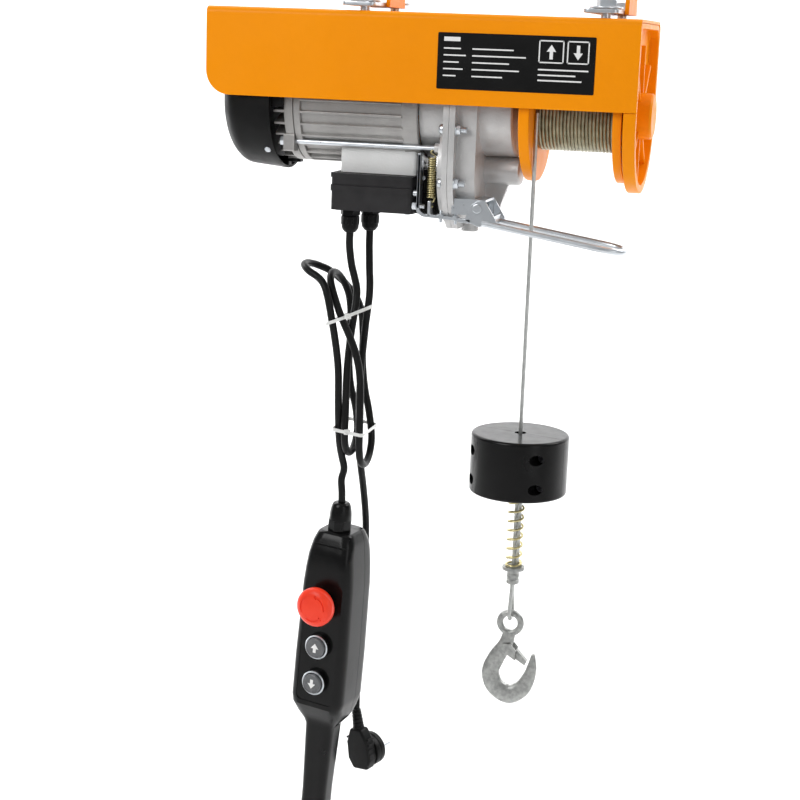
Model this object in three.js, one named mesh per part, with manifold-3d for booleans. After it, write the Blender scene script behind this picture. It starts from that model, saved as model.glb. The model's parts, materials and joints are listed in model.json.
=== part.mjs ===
// Electric wire rope hoist, lifting gear. Millimetres, +Z up, motor and drum along X, front towards -Y.
// The hoist hangs from a beam that runs along X through its two hangers.
import * as THREE from 'three';
import { mergeVertices } from 'three/addons/utils/BufferGeometryUtils.js';
import Module from 'manifold-3d';

const wasm = await Module();
wasm.setup();

// ---------------------------------------------------------------- driving dimensions
// Heights are from the top of the frame, X from the middle of the frame.
const GAP = 0.3;                                     // between pieces that touch
const FRAME = { length: 430, width: 150, height: 86, sheet: 3, bend: 6.5, rearBend: 11, corner: 24 };
const AXIS_Z = -91;                                  // motor and drum axis
const SHAFT_DROP = 60;                               // intermediate shaft below that axis
const SHAFT_Z = AXIS_Z - SHAFT_DROP;
const HANGER = { stations: [-58, 178], boltY: 54, bolt: 5, legOffset: 16, sheet: 4, width: 56, seat: 72,
  lift: 4.5, windowLow: 21, windowEdge: 6, top: 94 };
const SEAT = new THREE.Vector3(HANGER.stations[0] + HANGER.legOffset, 0, HANGER.seat);
const MOTOR = { left: -128.3, right: -1, radius: 57, fin: 3.2, fins: 30, bore: 52, shaft: 6 };
const TIE_ROD = { y: 45, z: -130, radius: 2.5 };
const FAN = { left: -210, wall: -184, rim: -150, radius: 69.5, wallRadius: 66.5, sheet: 2.2 };
const GEARBOX = { coverLeft: -0.7, flangeLeft: 28, seam: 34, flangeRight: 40, right: 59, neckEnd: 92,
  flange: 67, flangeBottom: -209, bodyTop: 56, bodyLow: 55.5, wall: 3, neck: 46 };
const FLANGE_BOLTS = { y: 61.2, heights: [-110, -162], radius: 3 };
const STAGE_1 = { module: 1.5, pinion: 12, gear: 68, left: 24, width: 9 };
const STAGE_2 = { module: 2, pinion: 10, gear: 50, left: 40.5, width: 13 };
const DRUM = { left: 101.5, leftFlange: 11, right: 200.6, rightFlange: 8.6, leftRadius: 68.5,
  rightRadius: 66, core: 27, rope: 37.5, shaft: 10 };
const COVER = { rimLeft: 203, right: 215, radius: 75, web: 205.5, boss: 23, bossEnd: 223 };
const ROPE = { x: 115, y: -39.5, radius: 2 };
const BOX = { left: -90, right: -4, front: -50, back: 34, top: -159, bottom: -196, joint: -171, wall: 2.5 };
const PLUNGER = { y: -44, z: -175, radius: 3.5 };
const GLANDS = [{ name: 'control', x: -77, y: -20 }, { name: 'power', x: -64, y: 8 }];
const GLAND_LENGTH = 25;
const CABLE_RADIUS = 3.9;
const PIVOT = { x: 64.4, z: -185, near: -60, far: -18, pin: 3 };
const LOOP = { radius: 3.2, left: 70, right: 204, leftZ: -199, rightZ: -219, nose: 9 };
const BLOCK = { radius: 49.5, top: -409.6, height: 61, bore: 5.8, turn: -16 };
const HOOK = { eyeZ: -612, eye: 14.3, hole: 7.5, thickness: 11 };
const FERRULE = { top: -554, bottom: -569, radius: 6.5, washer: 11.5, washerTop: -550.5 };
const PENDANT = { x: -79, y: -20, z: -539.5, turn: -10, lean: 3.6, total: 345 };
const BUTTONS = { face: -24.5, estop: -76, up: -125, down: -166, cap: 11, collar: 13.8 };
const HANK = { x0: -84, x1: -54, y: -10, depth: 27.5, top: -284, bottom: -471 };

// ---------------------------------------------------------------- materials
const material = (color, roughness, metalness) =>
  new THREE.MeshStandardMaterial({ color, roughness, metalness });
const orangePaint = material(0xf08c04, 0.4, 0.1);
const castAluminium = material(0xb9b9bb, 0.5, 0.8);
const zinc = material(0xc4ccd4, 0.35, 0.9);
const yellowZinc = material(0xb9a45c, 0.35, 0.9);
const steel = material(0x8c8f94, 0.4, 0.9);
const copper = material(0xa8622c, 0.45, 0.8);
const blackPlastic = material(0x141416, 0.35, 0);
const blackRubber = material(0x101012, 0.6, 0);
const redPlastic = material(0xd8321f, 0.35, 0);
const greyPlastic = material(0x6b6e72, 0.4, 0);
const bearingSteel = material(0xa5a8ad, 0.25, 1);

// ---------------------------------------------------------------- solids
function solidOf(geometry) {
  geometry.deleteAttribute('normal');
  geometry.deleteAttribute('uv');
  const merged = mergeVertices(geometry, 1e-4);
  const mesh = new wasm.Mesh({
    numProp: 3,
    vertProperties: new Float32Array(merged.attributes.position.array),
    triVerts: new Uint32Array(merged.index.array),
  });
  return new wasm.Manifold(mesh);
}

function geometryOf(solid) {
  const mesh = solid.getMesh();
  const geometry = new THREE.BufferGeometry();
  geometry.setAttribute('position', new THREE.BufferAttribute(mesh.vertProperties, 3));
  geometry.setIndex(new THREE.BufferAttribute(mesh.triVerts, 1));
  geometry.computeVertexNormals();
  return geometry;
}

const union = (...solids) => solids.reduce((whole, solid) => whole.add(solid));

function box(x0, x1, y0, y1, z0, z1) {
  const geometry = new THREE.BoxGeometry(x1 - x0, y1 - y0, z1 - z0);
  geometry.translate((x0 + x1) / 2, (y0 + y1) / 2, (z0 + z1) / 2);
  return solidOf(geometry);
}

// A turned solid about an axis along X, from [x, radius] pairs that start and end on the axis.
function turnedX(profile, y = 0, z = AXIS_Z, segments = 24) {
  const points = profile.map(([x, r]) => new THREE.Vector2(r, x));
  const geometry = new THREE.LatheGeometry(points, segments);
  geometry.rotateZ(-Math.PI / 2);
  geometry.translate(0, y, z);
  return solidOf(geometry);
}

// The same about a vertical axis, from [z, radius] pairs, lowest first.
function turnedZ(profile, x, y, segments = 20) {
  const points = profile.map(([z, r]) => new THREE.Vector2(r, z));
  const geometry = new THREE.LatheGeometry(points, segments);
  geometry.rotateX(Math.PI / 2);
  geometry.translate(x, y, 0);
  return solidOf(geometry);
}

const rodX = (r, x0, x1, y, z, segments) => turnedX([[x0, 0], [x0, r], [x1, r], [x1, 0]], y, z, segments);
const rodZ = (r, z0, z1, x, y, segments) => turnedZ([[z0, 0], [z0, r], [z1, r], [z1, 0]], x, y, segments);

function rodY(r, y0, y1, x, z, segments = 16) {
  const geometry = new THREE.CylinderGeometry(r, r, y1 - y0, segments);
  geometry.translate(x, (y0 + y1) / 2, z);
  return solidOf(geometry);
}

const PLAIN = { bevelEnabled: false, curveSegments: 5 };

// An outline of [y, z] pairs or a Shape in the YZ plane, extruded along X.
function alongX(outline, x0, x1) {
  const shape = outline instanceof THREE.Shape ? outline
    : new THREE.Shape(outline.map(([y, z]) => new THREE.Vector2(y, z)));
  const geometry = new THREE.ExtrudeGeometry(shape, { ...PLAIN, depth: x1 - x0 });
  geometry.applyMatrix4(new THREE.Matrix4().set(0, 0, 1, x0, 1, 0, 0, 0, 0, 1, 0, 0, 0, 0, 0, 1));
  return solidOf(geometry);
}

// An outline of [x, z] pairs or a Shape in the XZ plane, extruded along Y.
function alongY(outline, y0, y1) {
  const shape = outline instanceof THREE.Shape ? outline
    : new THREE.Shape(outline.map(([x, z]) => new THREE.Vector2(x, z)));
  const geometry = new THREE.ExtrudeGeometry(shape, { ...PLAIN, depth: y1 - y0 });
  geometry.applyMatrix4(new THREE.Matrix4().set(1, 0, 0, 0, 0, 0, -1, y1, 0, 1, 0, 0, 0, 0, 0, 1));
  return solidOf(geometry);
}

// A round tube along a curve.
function tube(curve, radius, steps, sides = 10) {
  const section = new THREE.Shape();
  for (let i = 0; i < sides; i += 1) {
    const a = (2 * Math.PI * i) / sides;
    section[i ? 'lineTo' : 'moveTo'](radius * Math.cos(a), radius * Math.sin(a));
  }
  return solidOf(new THREE.ExtrudeGeometry(section, { ...PLAIN, steps, extrudePath: curve }));
}

const smooth = (points) =>
  new THREE.CatmullRomCurve3(points.map(([x, y, z]) => new THREE.Vector3(x, y, z)), false, 'centripetal');

// A coil spring about a vertical axis.
class Helix extends THREE.Curve {
  constructor(x, y, z0, z1, radius, turns) {
    super();
    Object.assign(this, { x, y, z0, z1, radius, turns });
  }

  getPoint(t) {
    const a = 2 * Math.PI * this.turns * t;
    const z = this.z0 + (this.z1 - this.z0) * t;
    return new THREE.Vector3(this.x + this.radius * Math.cos(a), this.y + this.radius * Math.sin(a), z);
  }
}

// A spur gear about an axis along X; a tooth or a gap points up, as asked.
function gear({ module, teeth, x0, x1, z, bore, gapUp }) {
  const pitch = (module * teeth) / 2;
  const step = (2 * Math.PI) / teeth;
  const outline = [];
  for (let i = 0; i < teeth; i += 1) {
    const middle = Math.PI / 2 + step * (i + (gapUp ? 0.5 : 0));
    for (const [angle, radius] of [[-0.31, -1.1], [-0.12, 0.75], [0.12, 0.75], [0.31, -1.1]]) {
      const a = middle + angle * step;
      const r = pitch + radius * module;
      outline.push([r * Math.cos(a), z + r * Math.sin(a)]);
    }
  }
  const body = alongX(outline, x0, x1);
  return bore ? body.subtract(rodX(bore, x0 - 1, x1 + 1, 0, z, 24)) : body;
}

// The outline that holds two circles, one on the main axis and one on the intermediate shaft.
function twoCircles(top, low) {
  const lean = Math.asin((top - low) / SHAFT_DROP);
  const shape = new THREE.Shape();
  shape.absarc(0, AXIS_Z, top, -lean, Math.PI + lean, false);
  shape.absarc(0, AXIS_Z - SHAFT_DROP, low, Math.PI + lean, 2 * Math.PI - lean, false);
  return shape;
}

const hoist = new THREE.Group();
hoist.position.set(-SEAT.x, 0, -SEAT.z);

function add(name, solid, look, group = hoist) {
  const mesh = new THREE.Mesh(geometryOf(solid), look);
  mesh.name = name;
  group.add(mesh);
  return mesh;
}

// ---------------------------------------------------------------- frame, end cover and hangers
function channelOutline(inset) {
  const w = FRAME.width / 2 - inset;
  const front = FRAME.bend - inset;
  const rear = FRAME.rearBend - inset;
  const shape = new THREE.Shape();
  shape.moveTo(-w, -FRAME.height - inset);
  shape.lineTo(-w, -FRAME.bend);
  shape.absarc(-w + front, -inset - front, front, Math.PI, Math.PI / 2, true);
  shape.absarc(w - rear, -inset - rear, rear, Math.PI / 2, 0, true);
  shape.lineTo(w, -FRAME.height - inset);
  return shape;
}

function frameChannel() {
  const half = FRAME.length / 2;
  let channel = alongX(channelOutline(0), -half, half)
    .subtract(alongX(channelOutline(FRAME.sheet), -half - 1, half + 1));
  const low = -FRAME.height;
  const middle = low + FRAME.corner;
  const lower = new THREE.Shape();
  lower.moveTo(-half - 1, middle);
  lower.lineTo(-half, middle);
  lower.absarc(-half + FRAME.corner, middle, FRAME.corner, Math.PI, 1.5 * Math.PI, false);
  lower.lineTo(-half + FRAME.corner, low - 1);
  lower.lineTo(-half - 1, low - 1);
  channel = channel.subtract(alongY(lower, -FRAME.width, FRAME.width));
  for (const x of HANGER.stations) {
    for (const y of [-HANGER.boltY, HANGER.boltY]) {
      channel = channel.subtract(rodZ(HANGER.bolt + GAP, -30, 1, x, y, 14));
    }
  }
  return channel;
}

function coverOutline(radius, side, top) {
  const shape = new THREE.Shape();
  const chamfer = 9;
  shape.moveTo(-side, AXIS_Z);
  shape.lineTo(-side, top - 4);
  shape.lineTo(-side + 4, top);
  shape.lineTo(side - chamfer, top);
  shape.lineTo(side, top - chamfer);
  shape.lineTo(side, AXIS_Z);
  shape.absarc(0, AXIS_Z, radius, 0, -Math.PI, true);
  return shape;
}

function endCover() {
  const inside = FRAME.width / 2 - FRAME.sheet - GAP;
  const top = -FRAME.sheet - GAP;
  const outer = union(
    alongX(coverOutline(inside, inside, top), COVER.rimLeft, COVER.right),
    rodX(COVER.radius, COVER.rimLeft, COVER.right, 0, AXIS_Z, 36)
      .intersect(box(0, 300, -100, 100, -200, -FRAME.height - GAP)),
  );
  const hollow = (x0, x1) => alongX(coverOutline(inside - 5, inside - 5, top - 5), x0, x1);
  let cover = outer
    .subtract(hollow(COVER.web, COVER.right + 1))
    .subtract(hollow(COVER.rimLeft - 1, COVER.web - 3));
  for (const angle of [90, 45, 135, 225, 270, 315]) {
    const rib = box(COVER.web - 0.5, 211, -2, 2, COVER.boss - 2, COVER.radius - 4)
      .rotate([angle - 90, 0, 0]).translate([0, 0, AXIS_Z]);
    cover = cover.add(rib);
  }
  return cover
    .add(rodX(COVER.boss, COVER.web - 3, COVER.bossEnd, 0, AXIS_Z))
    .subtract(rodX(DRUM.shaft + GAP, 200, COVER.bossEnd - 4, 0, AXIS_Z));
}

function hanger(x) {
  const { legOffset, boltY, bolt, sheet, lift, seat, top, windowLow, windowEdge } = HANGER;
  const leg = x + legOffset;
  const w = HANGER.width / 2;
  const chamfer = 10;
  const outline = [[-w, lift], [w, lift], [w, top - chamfer], [w - chamfer, top], [-w + chamfer, top],
    [-w, top - chamfer]];
  const foot = box(x - 20, leg, -boltY - 14, boltY + 14, lift, lift + sheet);
  const flange = box(leg - 14, leg + sheet / 2, -w + 4, w - 4, seat, seat + sheet);
  const window = box(leg - sheet, leg + sheet, -w + windowEdge, w - windowEdge, windowLow, seat);
  let solid = alongX(outline, leg - sheet / 2, leg + sheet / 2).subtract(window).add(foot).add(flange);
  for (const y of [-boltY, boltY]) {
    solid = solid.subtract(rodZ(bolt + GAP, 0, 20, x, y, 14));
  }
  return solid;
}

function hangerBolt(x, y) {
  const washer = HANGER.lift + HANGER.sheet + GAP;
  const nut = -FRAME.sheet - GAP;
  const hexagon = 9.4;
  return union(
    rodZ(HANGER.bolt, -20, washer + 2, x, y, 10),
    rodZ(16, washer, washer + 2, x, y, 16),
    rodZ(hexagon, washer + 1.9, washer + 9, x, y, 6),
    rodZ(hexagon, nut - 8, nut, x, y, 6),
  );
}

add('frame_channel', frameChannel(), orangePaint);
add('end_cover', endCover(), orangePaint);
HANGER.stations.forEach((x, i) => {
  const side = i ? 'right' : 'left';
  add(`hanger_${side}`, hanger(x), orangePaint);
  add(`hanger_bolt_${side}_front`, hangerBolt(x, -HANGER.boltY), zinc);
  add(`hanger_bolt_${side}_rear`, hangerBolt(x, HANGER.boltY), zinc);
});

// ---------------------------------------------------------------- motor
function motorHousing() {
  let shell = rodX(MOTOR.radius, MOTOR.left, MOTOR.right, 0, AXIS_Z, 40);
  const fin = box(MOTOR.left, MOTOR.right, -1.2, 1.2, MOTOR.radius - 2, MOTOR.radius + MOTOR.fin);
  for (const side of [-1, 1]) {
    for (let i = 0; i < MOTOR.fins / 2; i += 1) {
      const angle = side * (3 + (360 * i) / MOTOR.fins);
      shell = shell.add(fin.rotate([angle, 0, 0]).translate([0, 0, AXIS_Z]));
    }
  }
  return shell
    .add(box(-84, -4, -38, 34, BOX.top + GAP, AXIS_Z - 30))
    .subtract(rodX(MOTOR.bore, MOTOR.left - 1, MOTOR.right + 1, 0, AXIS_Z, 40));
}

function rotor() {
  const pinionEnd = STAGE_1.left + STAGE_1.width;
  return turnedX([[-180, 0], [-180, 6], [-112, 6], [-110, 8], [-104, 8], [-104, 28], [-24, 28], [-24, 10],
    [STAGE_1.left, 6], [STAGE_1.left, 0]])
    .add(gear({ ...STAGE_1, teeth: STAGE_1.pinion, x0: STAGE_1.left - 0.5, x1: pinionEnd, z: AXIS_Z }));
}

function rearEndBell() {
  const right = MOTOR.left - GAP;
  let bell = turnedX([[-146, 0], [-146, 22], [-140, 24], [-137, 60], [right, 60], [right, MOTOR.bore],
    [-134, 48], [-134, 0]]);
  for (let i = 0; i < 8; i += 1) {
    const fin = box(-144, -136, -1.5, 1.5, 20, 56).rotate([45 * i + 22.5, 0, 0]).translate([0, 0, AXIS_Z]);
    bell = bell.add(fin);
  }
  bell = bell.subtract(rodX(MOTOR.shaft + GAP, -160, -120, 0, AXIS_Z, 32));
  for (const y of [-TIE_ROD.y, TIE_ROD.y]) {
    bell = bell
      .add(box(-140, right, y - 7, y + 7, TIE_ROD.z - 10, TIE_ROD.z + 8))
      .subtract(rodX(TIE_ROD.radius + GAP, -150, -120, y, TIE_ROD.z, 16));
  }
  return bell.subtract(rodX(50, MOTOR.left - 5, -120, 0, AXIS_Z));
}

function coolingFan() {
  let fan = turnedX([[-176, 0], [-176, 16], [-160, 18], [-160, 58], [-157.5, 58], [-157.5, 0]]);
  for (let i = 0; i < 8; i += 1) {
    fan = fan.add(box(-176, -158, -1, 1, 15, 56).rotate([45 * i, 0, 0]).translate([0, 0, AXIS_Z]));
  }
  return fan.subtract(rodX(MOTOR.shaft + GAP, -190, -150, 0, AXIS_Z, 32));
}

function fanCover() {
  const dome = (inset) => {
    const nose = 24;
    const points = [[FAN.left + inset, 0], [FAN.left + inset, nose]];
    for (let i = 1; i <= 5; i += 1) {
      const a = (Math.PI / 2) * (i / 5);
      points.push([FAN.wall - (FAN.wall - FAN.left - inset) * Math.cos(a),
        nose + (FAN.wallRadius - inset - nose) * Math.sin(a)]);
    }
    return points;
  };
  let cover = turnedX([...dome(0), [FAN.rim, FAN.radius], [FAN.rim, FAN.radius - FAN.sheet],
    ...dome(FAN.sheet).reverse()], 0, AXIS_Z, 30);
  for (let i = -2; i <= 2; i += 1) {
    const z = AXIS_Z + i * 10;
    cover = cover.subtract(box(FAN.left - 2, FAN.left + 14, -30, 30, z - 2, z + 2));
  }
  const post = box(-158, FAN.rim, -5, 5, 60.4, FAN.radius - 1);
  const tongue = box(FAN.rim - 1, -137.4, -5, 5, 60.4, 63);
  for (const angle of [0, 90, 180, 270]) {
    cover = cover.add(post.add(tongue).rotate([angle, 0, 0]).translate([0, 0, AXIS_Z]));
  }
  return cover;
}

function tieRod(y) {
  const { radius, z } = TIE_ROD;
  return union(rodX(radius, -145, STAGE_1.left, y, z, 12), rodX(2 * radius, -145, -140 - GAP, y, z, 6));
}

add('motor_housing', motorHousing(), castAluminium);
add('stator', rodX(MOTOR.bore - GAP, -108, -20, 0, AXIS_Z)
  .subtract(rodX(28.4, -110, -10, 0, AXIS_Z)), copper);
add('rotor', rotor(), steel);
add('rear_end_bell', rearEndBell(), castAluminium);
add('cooling_fan', coolingFan(), blackPlastic);
add('fan_cover', fanCover(), blackPlastic);
add('tie_rod_front', tieRod(-TIE_ROD.y), zinc);
add('tie_rod_rear', tieRod(TIE_ROD.y), zinc);

// ---------------------------------------------------------------- gearbox and drum
function flangePlate(x0, x1, extra = 0) {
  const { flange, flangeBottom } = GEARBOX;
  return alongX(twoCircles(flange + extra, flange + extra), x0, x1)
    .intersect(box(x0, x1, -flange - extra, flange + extra, flangeBottom - extra, 0));
}

function flangeBoltHoles() {
  const { y, heights, radius } = FLANGE_BOLTS;
  return union(...heights.flatMap((z) => [-y, y].map((side) => rodX(radius + GAP, 20, 50, side, z, 16))));
}

function gearboxCover() {
  const { coverLeft, flangeLeft, seam } = GEARBOX;
  let cover = union(
    turnedX([[coverLeft, 0], [coverLeft, 50], [20, 50], [flangeLeft, 54], [seam - GAP, 54], [seam - GAP, 0]]),
    flangePlate(flangeLeft, seam - GAP),
    alongX(twoCircles(20, 56), 21, 29),
  );
  cover = cover
    .subtract(rodX(46, coverLeft - 1, 12, 0, AXIS_Z))
    .subtract(rodX(54, STAGE_1.left - 0.5, 40, 0, SHAFT_Z))
    .subtract(rodX(11, 0, 40, 0, AXIS_Z));
  for (const y of [-TIE_ROD.y, TIE_ROD.y]) {
    cover = cover
      .add(rodX(5.2, 16, STAGE_1.left - 0.6, y, TIE_ROD.z, 12))
      .subtract(rodX(TIE_ROD.radius + GAP, 10, 26, y, TIE_ROD.z, 16));
  }
  return cover.subtract(flangeBoltHoles());
}

function gearboxHousing() {
  const { seam, flangeRight, right, neckEnd, bodyTop, bodyLow, wall, neck } = GEARBOX;
  let housing = union(
    flangePlate(seam, flangeRight),
    alongX(twoCircles(bodyTop, bodyLow), seam, right),
    turnedX([[50, 0], [50, neck + 1], [neckEnd, neck], [neckEnd, 0]]),
    rodX(14, 50, 95, 0, SHAFT_Z, 36),
    alongY([[50, -160], [84, -160], [72, -196], [60, -206], [50, -206]], -4, 4),
    rodZ(9, -214, -190, 44, 0, 20),
  );
  housing = housing
    .subtract(alongX(twoCircles(bodyTop - wall, bodyLow - wall), seam - 1, right - wall))
    .subtract(rodX(38, right - wall - 1, 78, 0, AXIS_Z))
    .subtract(rodX(24, 77, 85, 0, AXIS_Z))
    .subtract(rodX(DRUM.shaft + GAP, 80, 100, 0, AXIS_Z))
    .subtract(rodX(8 + GAP, right - wall - 1, 88, 0, SHAFT_Z, 24));
  return housing.subtract(flangeBoltHoles());
}

function flangeBolt(z) {
  const { radius, y } = FLANGE_BOLTS;
  const { flangeLeft, flangeRight } = GEARBOX;
  const hexagon = 1.6 * radius;
  return union(
    rodX(radius, flangeLeft - 3, flangeRight + 11, -y, z, 10),
    rodX(hexagon, flangeLeft - 5, flangeLeft - GAP, -y, z, 6),
    rodX(hexagon, flangeRight + GAP, flangeRight + 5, -y, z, 6),
  );
}

function ropeDrum() {
  const { left, leftFlange, right, rightFlange, leftRadius, rightRadius, core, shaft } = DRUM;
  const inner = left + leftFlange;
  const profile = [[left, 0], [left, leftRadius - 2], [left + 2, leftRadius], [inner - 2, leftRadius],
    [inner, leftRadius - 2], [inner, core], [right - rightFlange, core], [right - rightFlange, rightRadius],
    [right, rightRadius], [right, 0]];
  return turnedX(profile, 0, AXIS_Z, 36).subtract(rodX(shaft + GAP, left - 1, right + 1, 0, AXIS_Z));
}

add('gearbox_cover', gearboxCover(), castAluminium);
add('gearbox_housing', gearboxHousing(), castAluminium);
add('flange_bolt_upper', flangeBolt(FLANGE_BOLTS.heights[0]), zinc);
add('flange_bolt_lower', flangeBolt(FLANGE_BOLTS.heights[1]), zinc);
add('intermediate_gear', gear({ module: STAGE_1.module, teeth: STAGE_1.gear, x0: STAGE_1.left,
  x1: STAGE_1.left + STAGE_1.width, z: SHAFT_Z, bore: 7, gapUp: true }), steel);
add('intermediate_shaft', union(rodX(7 - GAP, STAGE_1.left - 0.2, 40, 0, SHAFT_Z, 24),
  gear({ module: STAGE_2.module, teeth: STAGE_2.pinion, x0: 37, x1: 54, z: SHAFT_Z }),
  rodX(8, 53, 84, 0, SHAFT_Z, 24)), steel);
add('output_gear', gear({ module: STAGE_2.module, teeth: STAGE_2.gear, x0: STAGE_2.left,
  x1: STAGE_2.left + STAGE_2.width, z: AXIS_Z, bore: DRUM.shaft + GAP, gapUp: true }), steel);
add('drum_shaft', rodX(DRUM.shaft, 36, COVER.bossEnd - 5, 0, AXIS_Z, 36), steel);
add('rope_drum', ropeDrum(), orangePaint);
const ropeLeft = DRUM.left + DRUM.leftFlange + GAP;
const ropeRight = DRUM.right - DRUM.rightFlange - GAP;
add('rope_winding', rodX(DRUM.rope, ropeLeft, ropeRight, 0, AXIS_Z)
  .subtract(rodX(DRUM.core + GAP, ropeLeft - 1, ropeRight + 1, 0, AXIS_Z)), steel);
add('drum_bearing', rodX(24 - GAP, 77.3, 84.7, 0, AXIS_Z)
  .subtract(rodX(DRUM.shaft + GAP, 70, 90, 0, AXIS_Z)), bearingSteel);

// ---------------------------------------------------------------- rope, limit block and hook
function blockHalf(side) {
  const { radius, top, height, bore, turn } = BLOCK;
  const low = top - height;
  const profile = [[low, 0], [low, radius - 2], [low + 2, radius], [top - 2, radius], [top, radius - 2],
    [top, 0]];
  const span = [(side * GAP) / 2, side * (radius + 1)].sort((a, b) => a - b);
  let half = turnedZ(profile, 0, 0, 36)
    .subtract(rodZ(bore, low - 1, top + 1, 0, 0, 24))
    .intersect(box(-radius - 1, radius + 1, ...span, low - 1, top + 1));
  const recess = [side * (radius - 31), side * (radius + 1)].sort((a, b) => a - b);
  for (const z of [top - 17, low + 14]) {
    for (const x of [-36, 36]) half = half.subtract(rodY(5.3, ...recess, x, z, 20));
  }
  return half.rotate([0, 0, turn]).translate([ROPE.x, ROPE.y, 0]);
}

// A band of changing width about a smooth line in the XZ plane.
function bandOutline(line, widths, samples = 18) {
  const curve = smooth(line.map(([x, z]) => [x, 0, z]));
  const left = [];
  const right = [];
  for (let i = 0; i <= samples; i += 1) {
    const t = i / samples;
    const at = curve.getPoint(t);
    const along = curve.getTangent(t);
    const k = t * (widths.length - 1);
    const j = Math.min(Math.floor(k), widths.length - 2);
    const half = widths[j] + (widths[j + 1] - widths[j]) * (k - j);
    left.push([at.x - along.z * half, at.z + along.x * half]);
    right.unshift([at.x + along.z * half, at.z - along.x * half]);
  }
  return [...left, ...right];
}

function hookSolid() {
  const { eyeZ, eye, hole, thickness } = HOOK;
  const at = ([x, z]) => [ROPE.x + x, eyeZ + z];
  const line = [[0, -10], [-4, -24], [-13, -40], [-18.3, -56], [-13, -71], [1.5, -78.5], [15, -71], [22, -58],
    [25, -46], [25.8, -33]];
  const halfWidths = [6.5, 7.5, 8.8, 9.2, 9.8, 10.2, 8.8, 7, 5.2, 2.2];
  const outline = bandOutline(line.map(at), halfWidths);
  const body = alongY(outline, ROPE.y - thickness / 2, ROPE.y + thickness / 2);
  const ring = rodY(eye, ROPE.y - 3.5, ROPE.y + 3.5, ROPE.x, eyeZ, 36);
  const bore = rodY(hole, ROPE.y - 20, ROPE.y + 20, ROPE.x, eyeZ, 28);
  const pivot = rodY(1.8, ROPE.y - 20, ROPE.y + 20, ROPE.x - 2, eyeZ - 26, 12);
  return body.add(ring).subtract(bore).subtract(pivot);
}

function hookLatch() {
  const { eyeZ, thickness } = HOOK;
  const cheek = 1.4;
  const inner = thickness / 2 + GAP;
  const at = ([x, z]) => [ROPE.x + x, eyeZ + z];
  const front = ROPE.y - inner - cheek;
  const rear = ROPE.y + inner + cheek;
  const form = [[-6, -22], [2, -21], [19.6, -39.5], [17.6, -44], [-4, -31], [-7, -27]];
  const fork = [[-12, -15], [6, -15], [9, -31], [3.5, -40], [-12, -40]];
  const tip = [8, 30, eyeZ - 60, eyeZ - 28];
  const beside = (y0, y1) => box(ROPE.x + tip[0], ROPE.x + tip[1], y0, y1, tip[2], tip[3]);
  return alongY(form.map(at), front, rear)
    .subtract(alongY(fork.map(at), ROPE.y - inner, ROPE.y + inner))
    .subtract(beside(front - 1, ROPE.y - 3))
    .subtract(beside(ROPE.y + 3, rear + 1))
    .add(rodY(1.8 - GAP, front, rear, ROPE.x - 2, eyeZ - 26, 12));
}

function ropeEye() {
  const low = HOOK.eyeZ + 4.6;
  const r = 10;
  const foot = FERRULE.bottom - GAP;
  const points = [[ROPE.y - 2.4, foot], [ROPE.y - 2.8, foot - 5.7]];
  for (let i = 0; i <= 10; i += 1) {
    const a = Math.PI * (1.12 + 0.76 * (i / 10));
    points.push([ROPE.y + r * Math.cos(a), low + r + r * Math.sin(a)]);
  }
  points.push([ROPE.y + 2.8, foot - 5.7], [ROPE.y + 2.4, foot]);
  return tube(smooth(points.map(([y, z]) => [ROPE.x, y, z])), ROPE.radius, 20, 6);
}

function ropeFerrule() {
  const { top, bottom, radius, washer, washerTop } = FERRULE;
  const profile = [[bottom, 0], [bottom, radius], [top, radius], [top, washer], [washerTop, washer],
    [washerTop, 0]];
  return turnedZ(profile, ROPE.x, ROPE.y, 32)
    .subtract(rodZ(ROPE.radius + GAP, top, washerTop + 1, ROPE.x, ROPE.y, 16));
}

add('hanging_rope', rodZ(ROPE.radius, FERRULE.top + GAP + 3.6, AXIS_Z, ROPE.x, ROPE.y, 10), zinc);
add('limit_block_front', blockHalf(-1), blackPlastic);
add('limit_block_rear', blockHalf(1), blackPlastic);
const springFoot = FERRULE.washerTop + 1.6;
const springHead = BLOCK.top - BLOCK.height - 1.6;
const bufferCoil = new Helix(ROPE.x, ROPE.y, springFoot, springHead, 7.5, 7.5);
add('buffer_spring', tube(bufferCoil, 1.1, 46, 4), yellowZinc);
add('rope_ferrule', ropeFerrule(), zinc);
add('rope_eye', ropeEye(), zinc);
add('hook', hookSolid(), zinc);
add('hook_latch', hookLatch(), zinc);

// ---------------------------------------------------------------- limit lever
function limitLever() {
  const { x, z, near, far } = PIVOT;
  const ear = [[52, -197], [58, -182], [66, -176.5], [72, -177.5], [84, -196], [83, -200], [66, -203]];
  const farEar = [[60.8, -197], [60.8, -181], [66, -176.5], [72, -177.5], [84, -196], [83, -200], [66, -203]];
  const strip = [[1, -192.5], [7, -197], [54, -199.5], [54, -196.5], [8, -194], [4, -190], [4, -135],
    [1, -135]];
  const slope = (LOOP.rightZ - LOOP.leftZ) / (LOOP.right - LOOP.left);
  const rod = (px) => LOOP.leftZ + slope * (px - LOOP.left);
  const side = (y, towards) => [[LOOP.left, y], [110, y], [150, y], [188, y], [199, y + 3 * towards],
    [206, y + LOOP.nose * towards]].map(([px, py]) => [px, py, rod(px)]);
  const path = smooth([...side(near, 1), [208, (near + far) / 2, rod(208)], ...side(far, -1).reverse()]);
  let lever = union(
    alongY(ear, near - 1.2, near + 1.2),
    alongY(farEar, far - 1.2, far + 1.2),
    tube(path, LOOP.radius, 28, 8),
    box(78, 80.4, near, far, -201, -192),
    alongY(strip, -54, -50),
    box(1, 4, -54, -42, -190, -135),
    alongY([[46, -199.5], [58, -200], [58, -196], [46, -196]], near - 1.2, -50),
    box(12.5, 15.5, -54, -43, -196.5, -181),
  );
  for (const y of [near, far]) lever = lever.subtract(rodY(PIVOT.pin + GAP, y - 5, y + 5, x, z));
  return lever;
}

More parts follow.
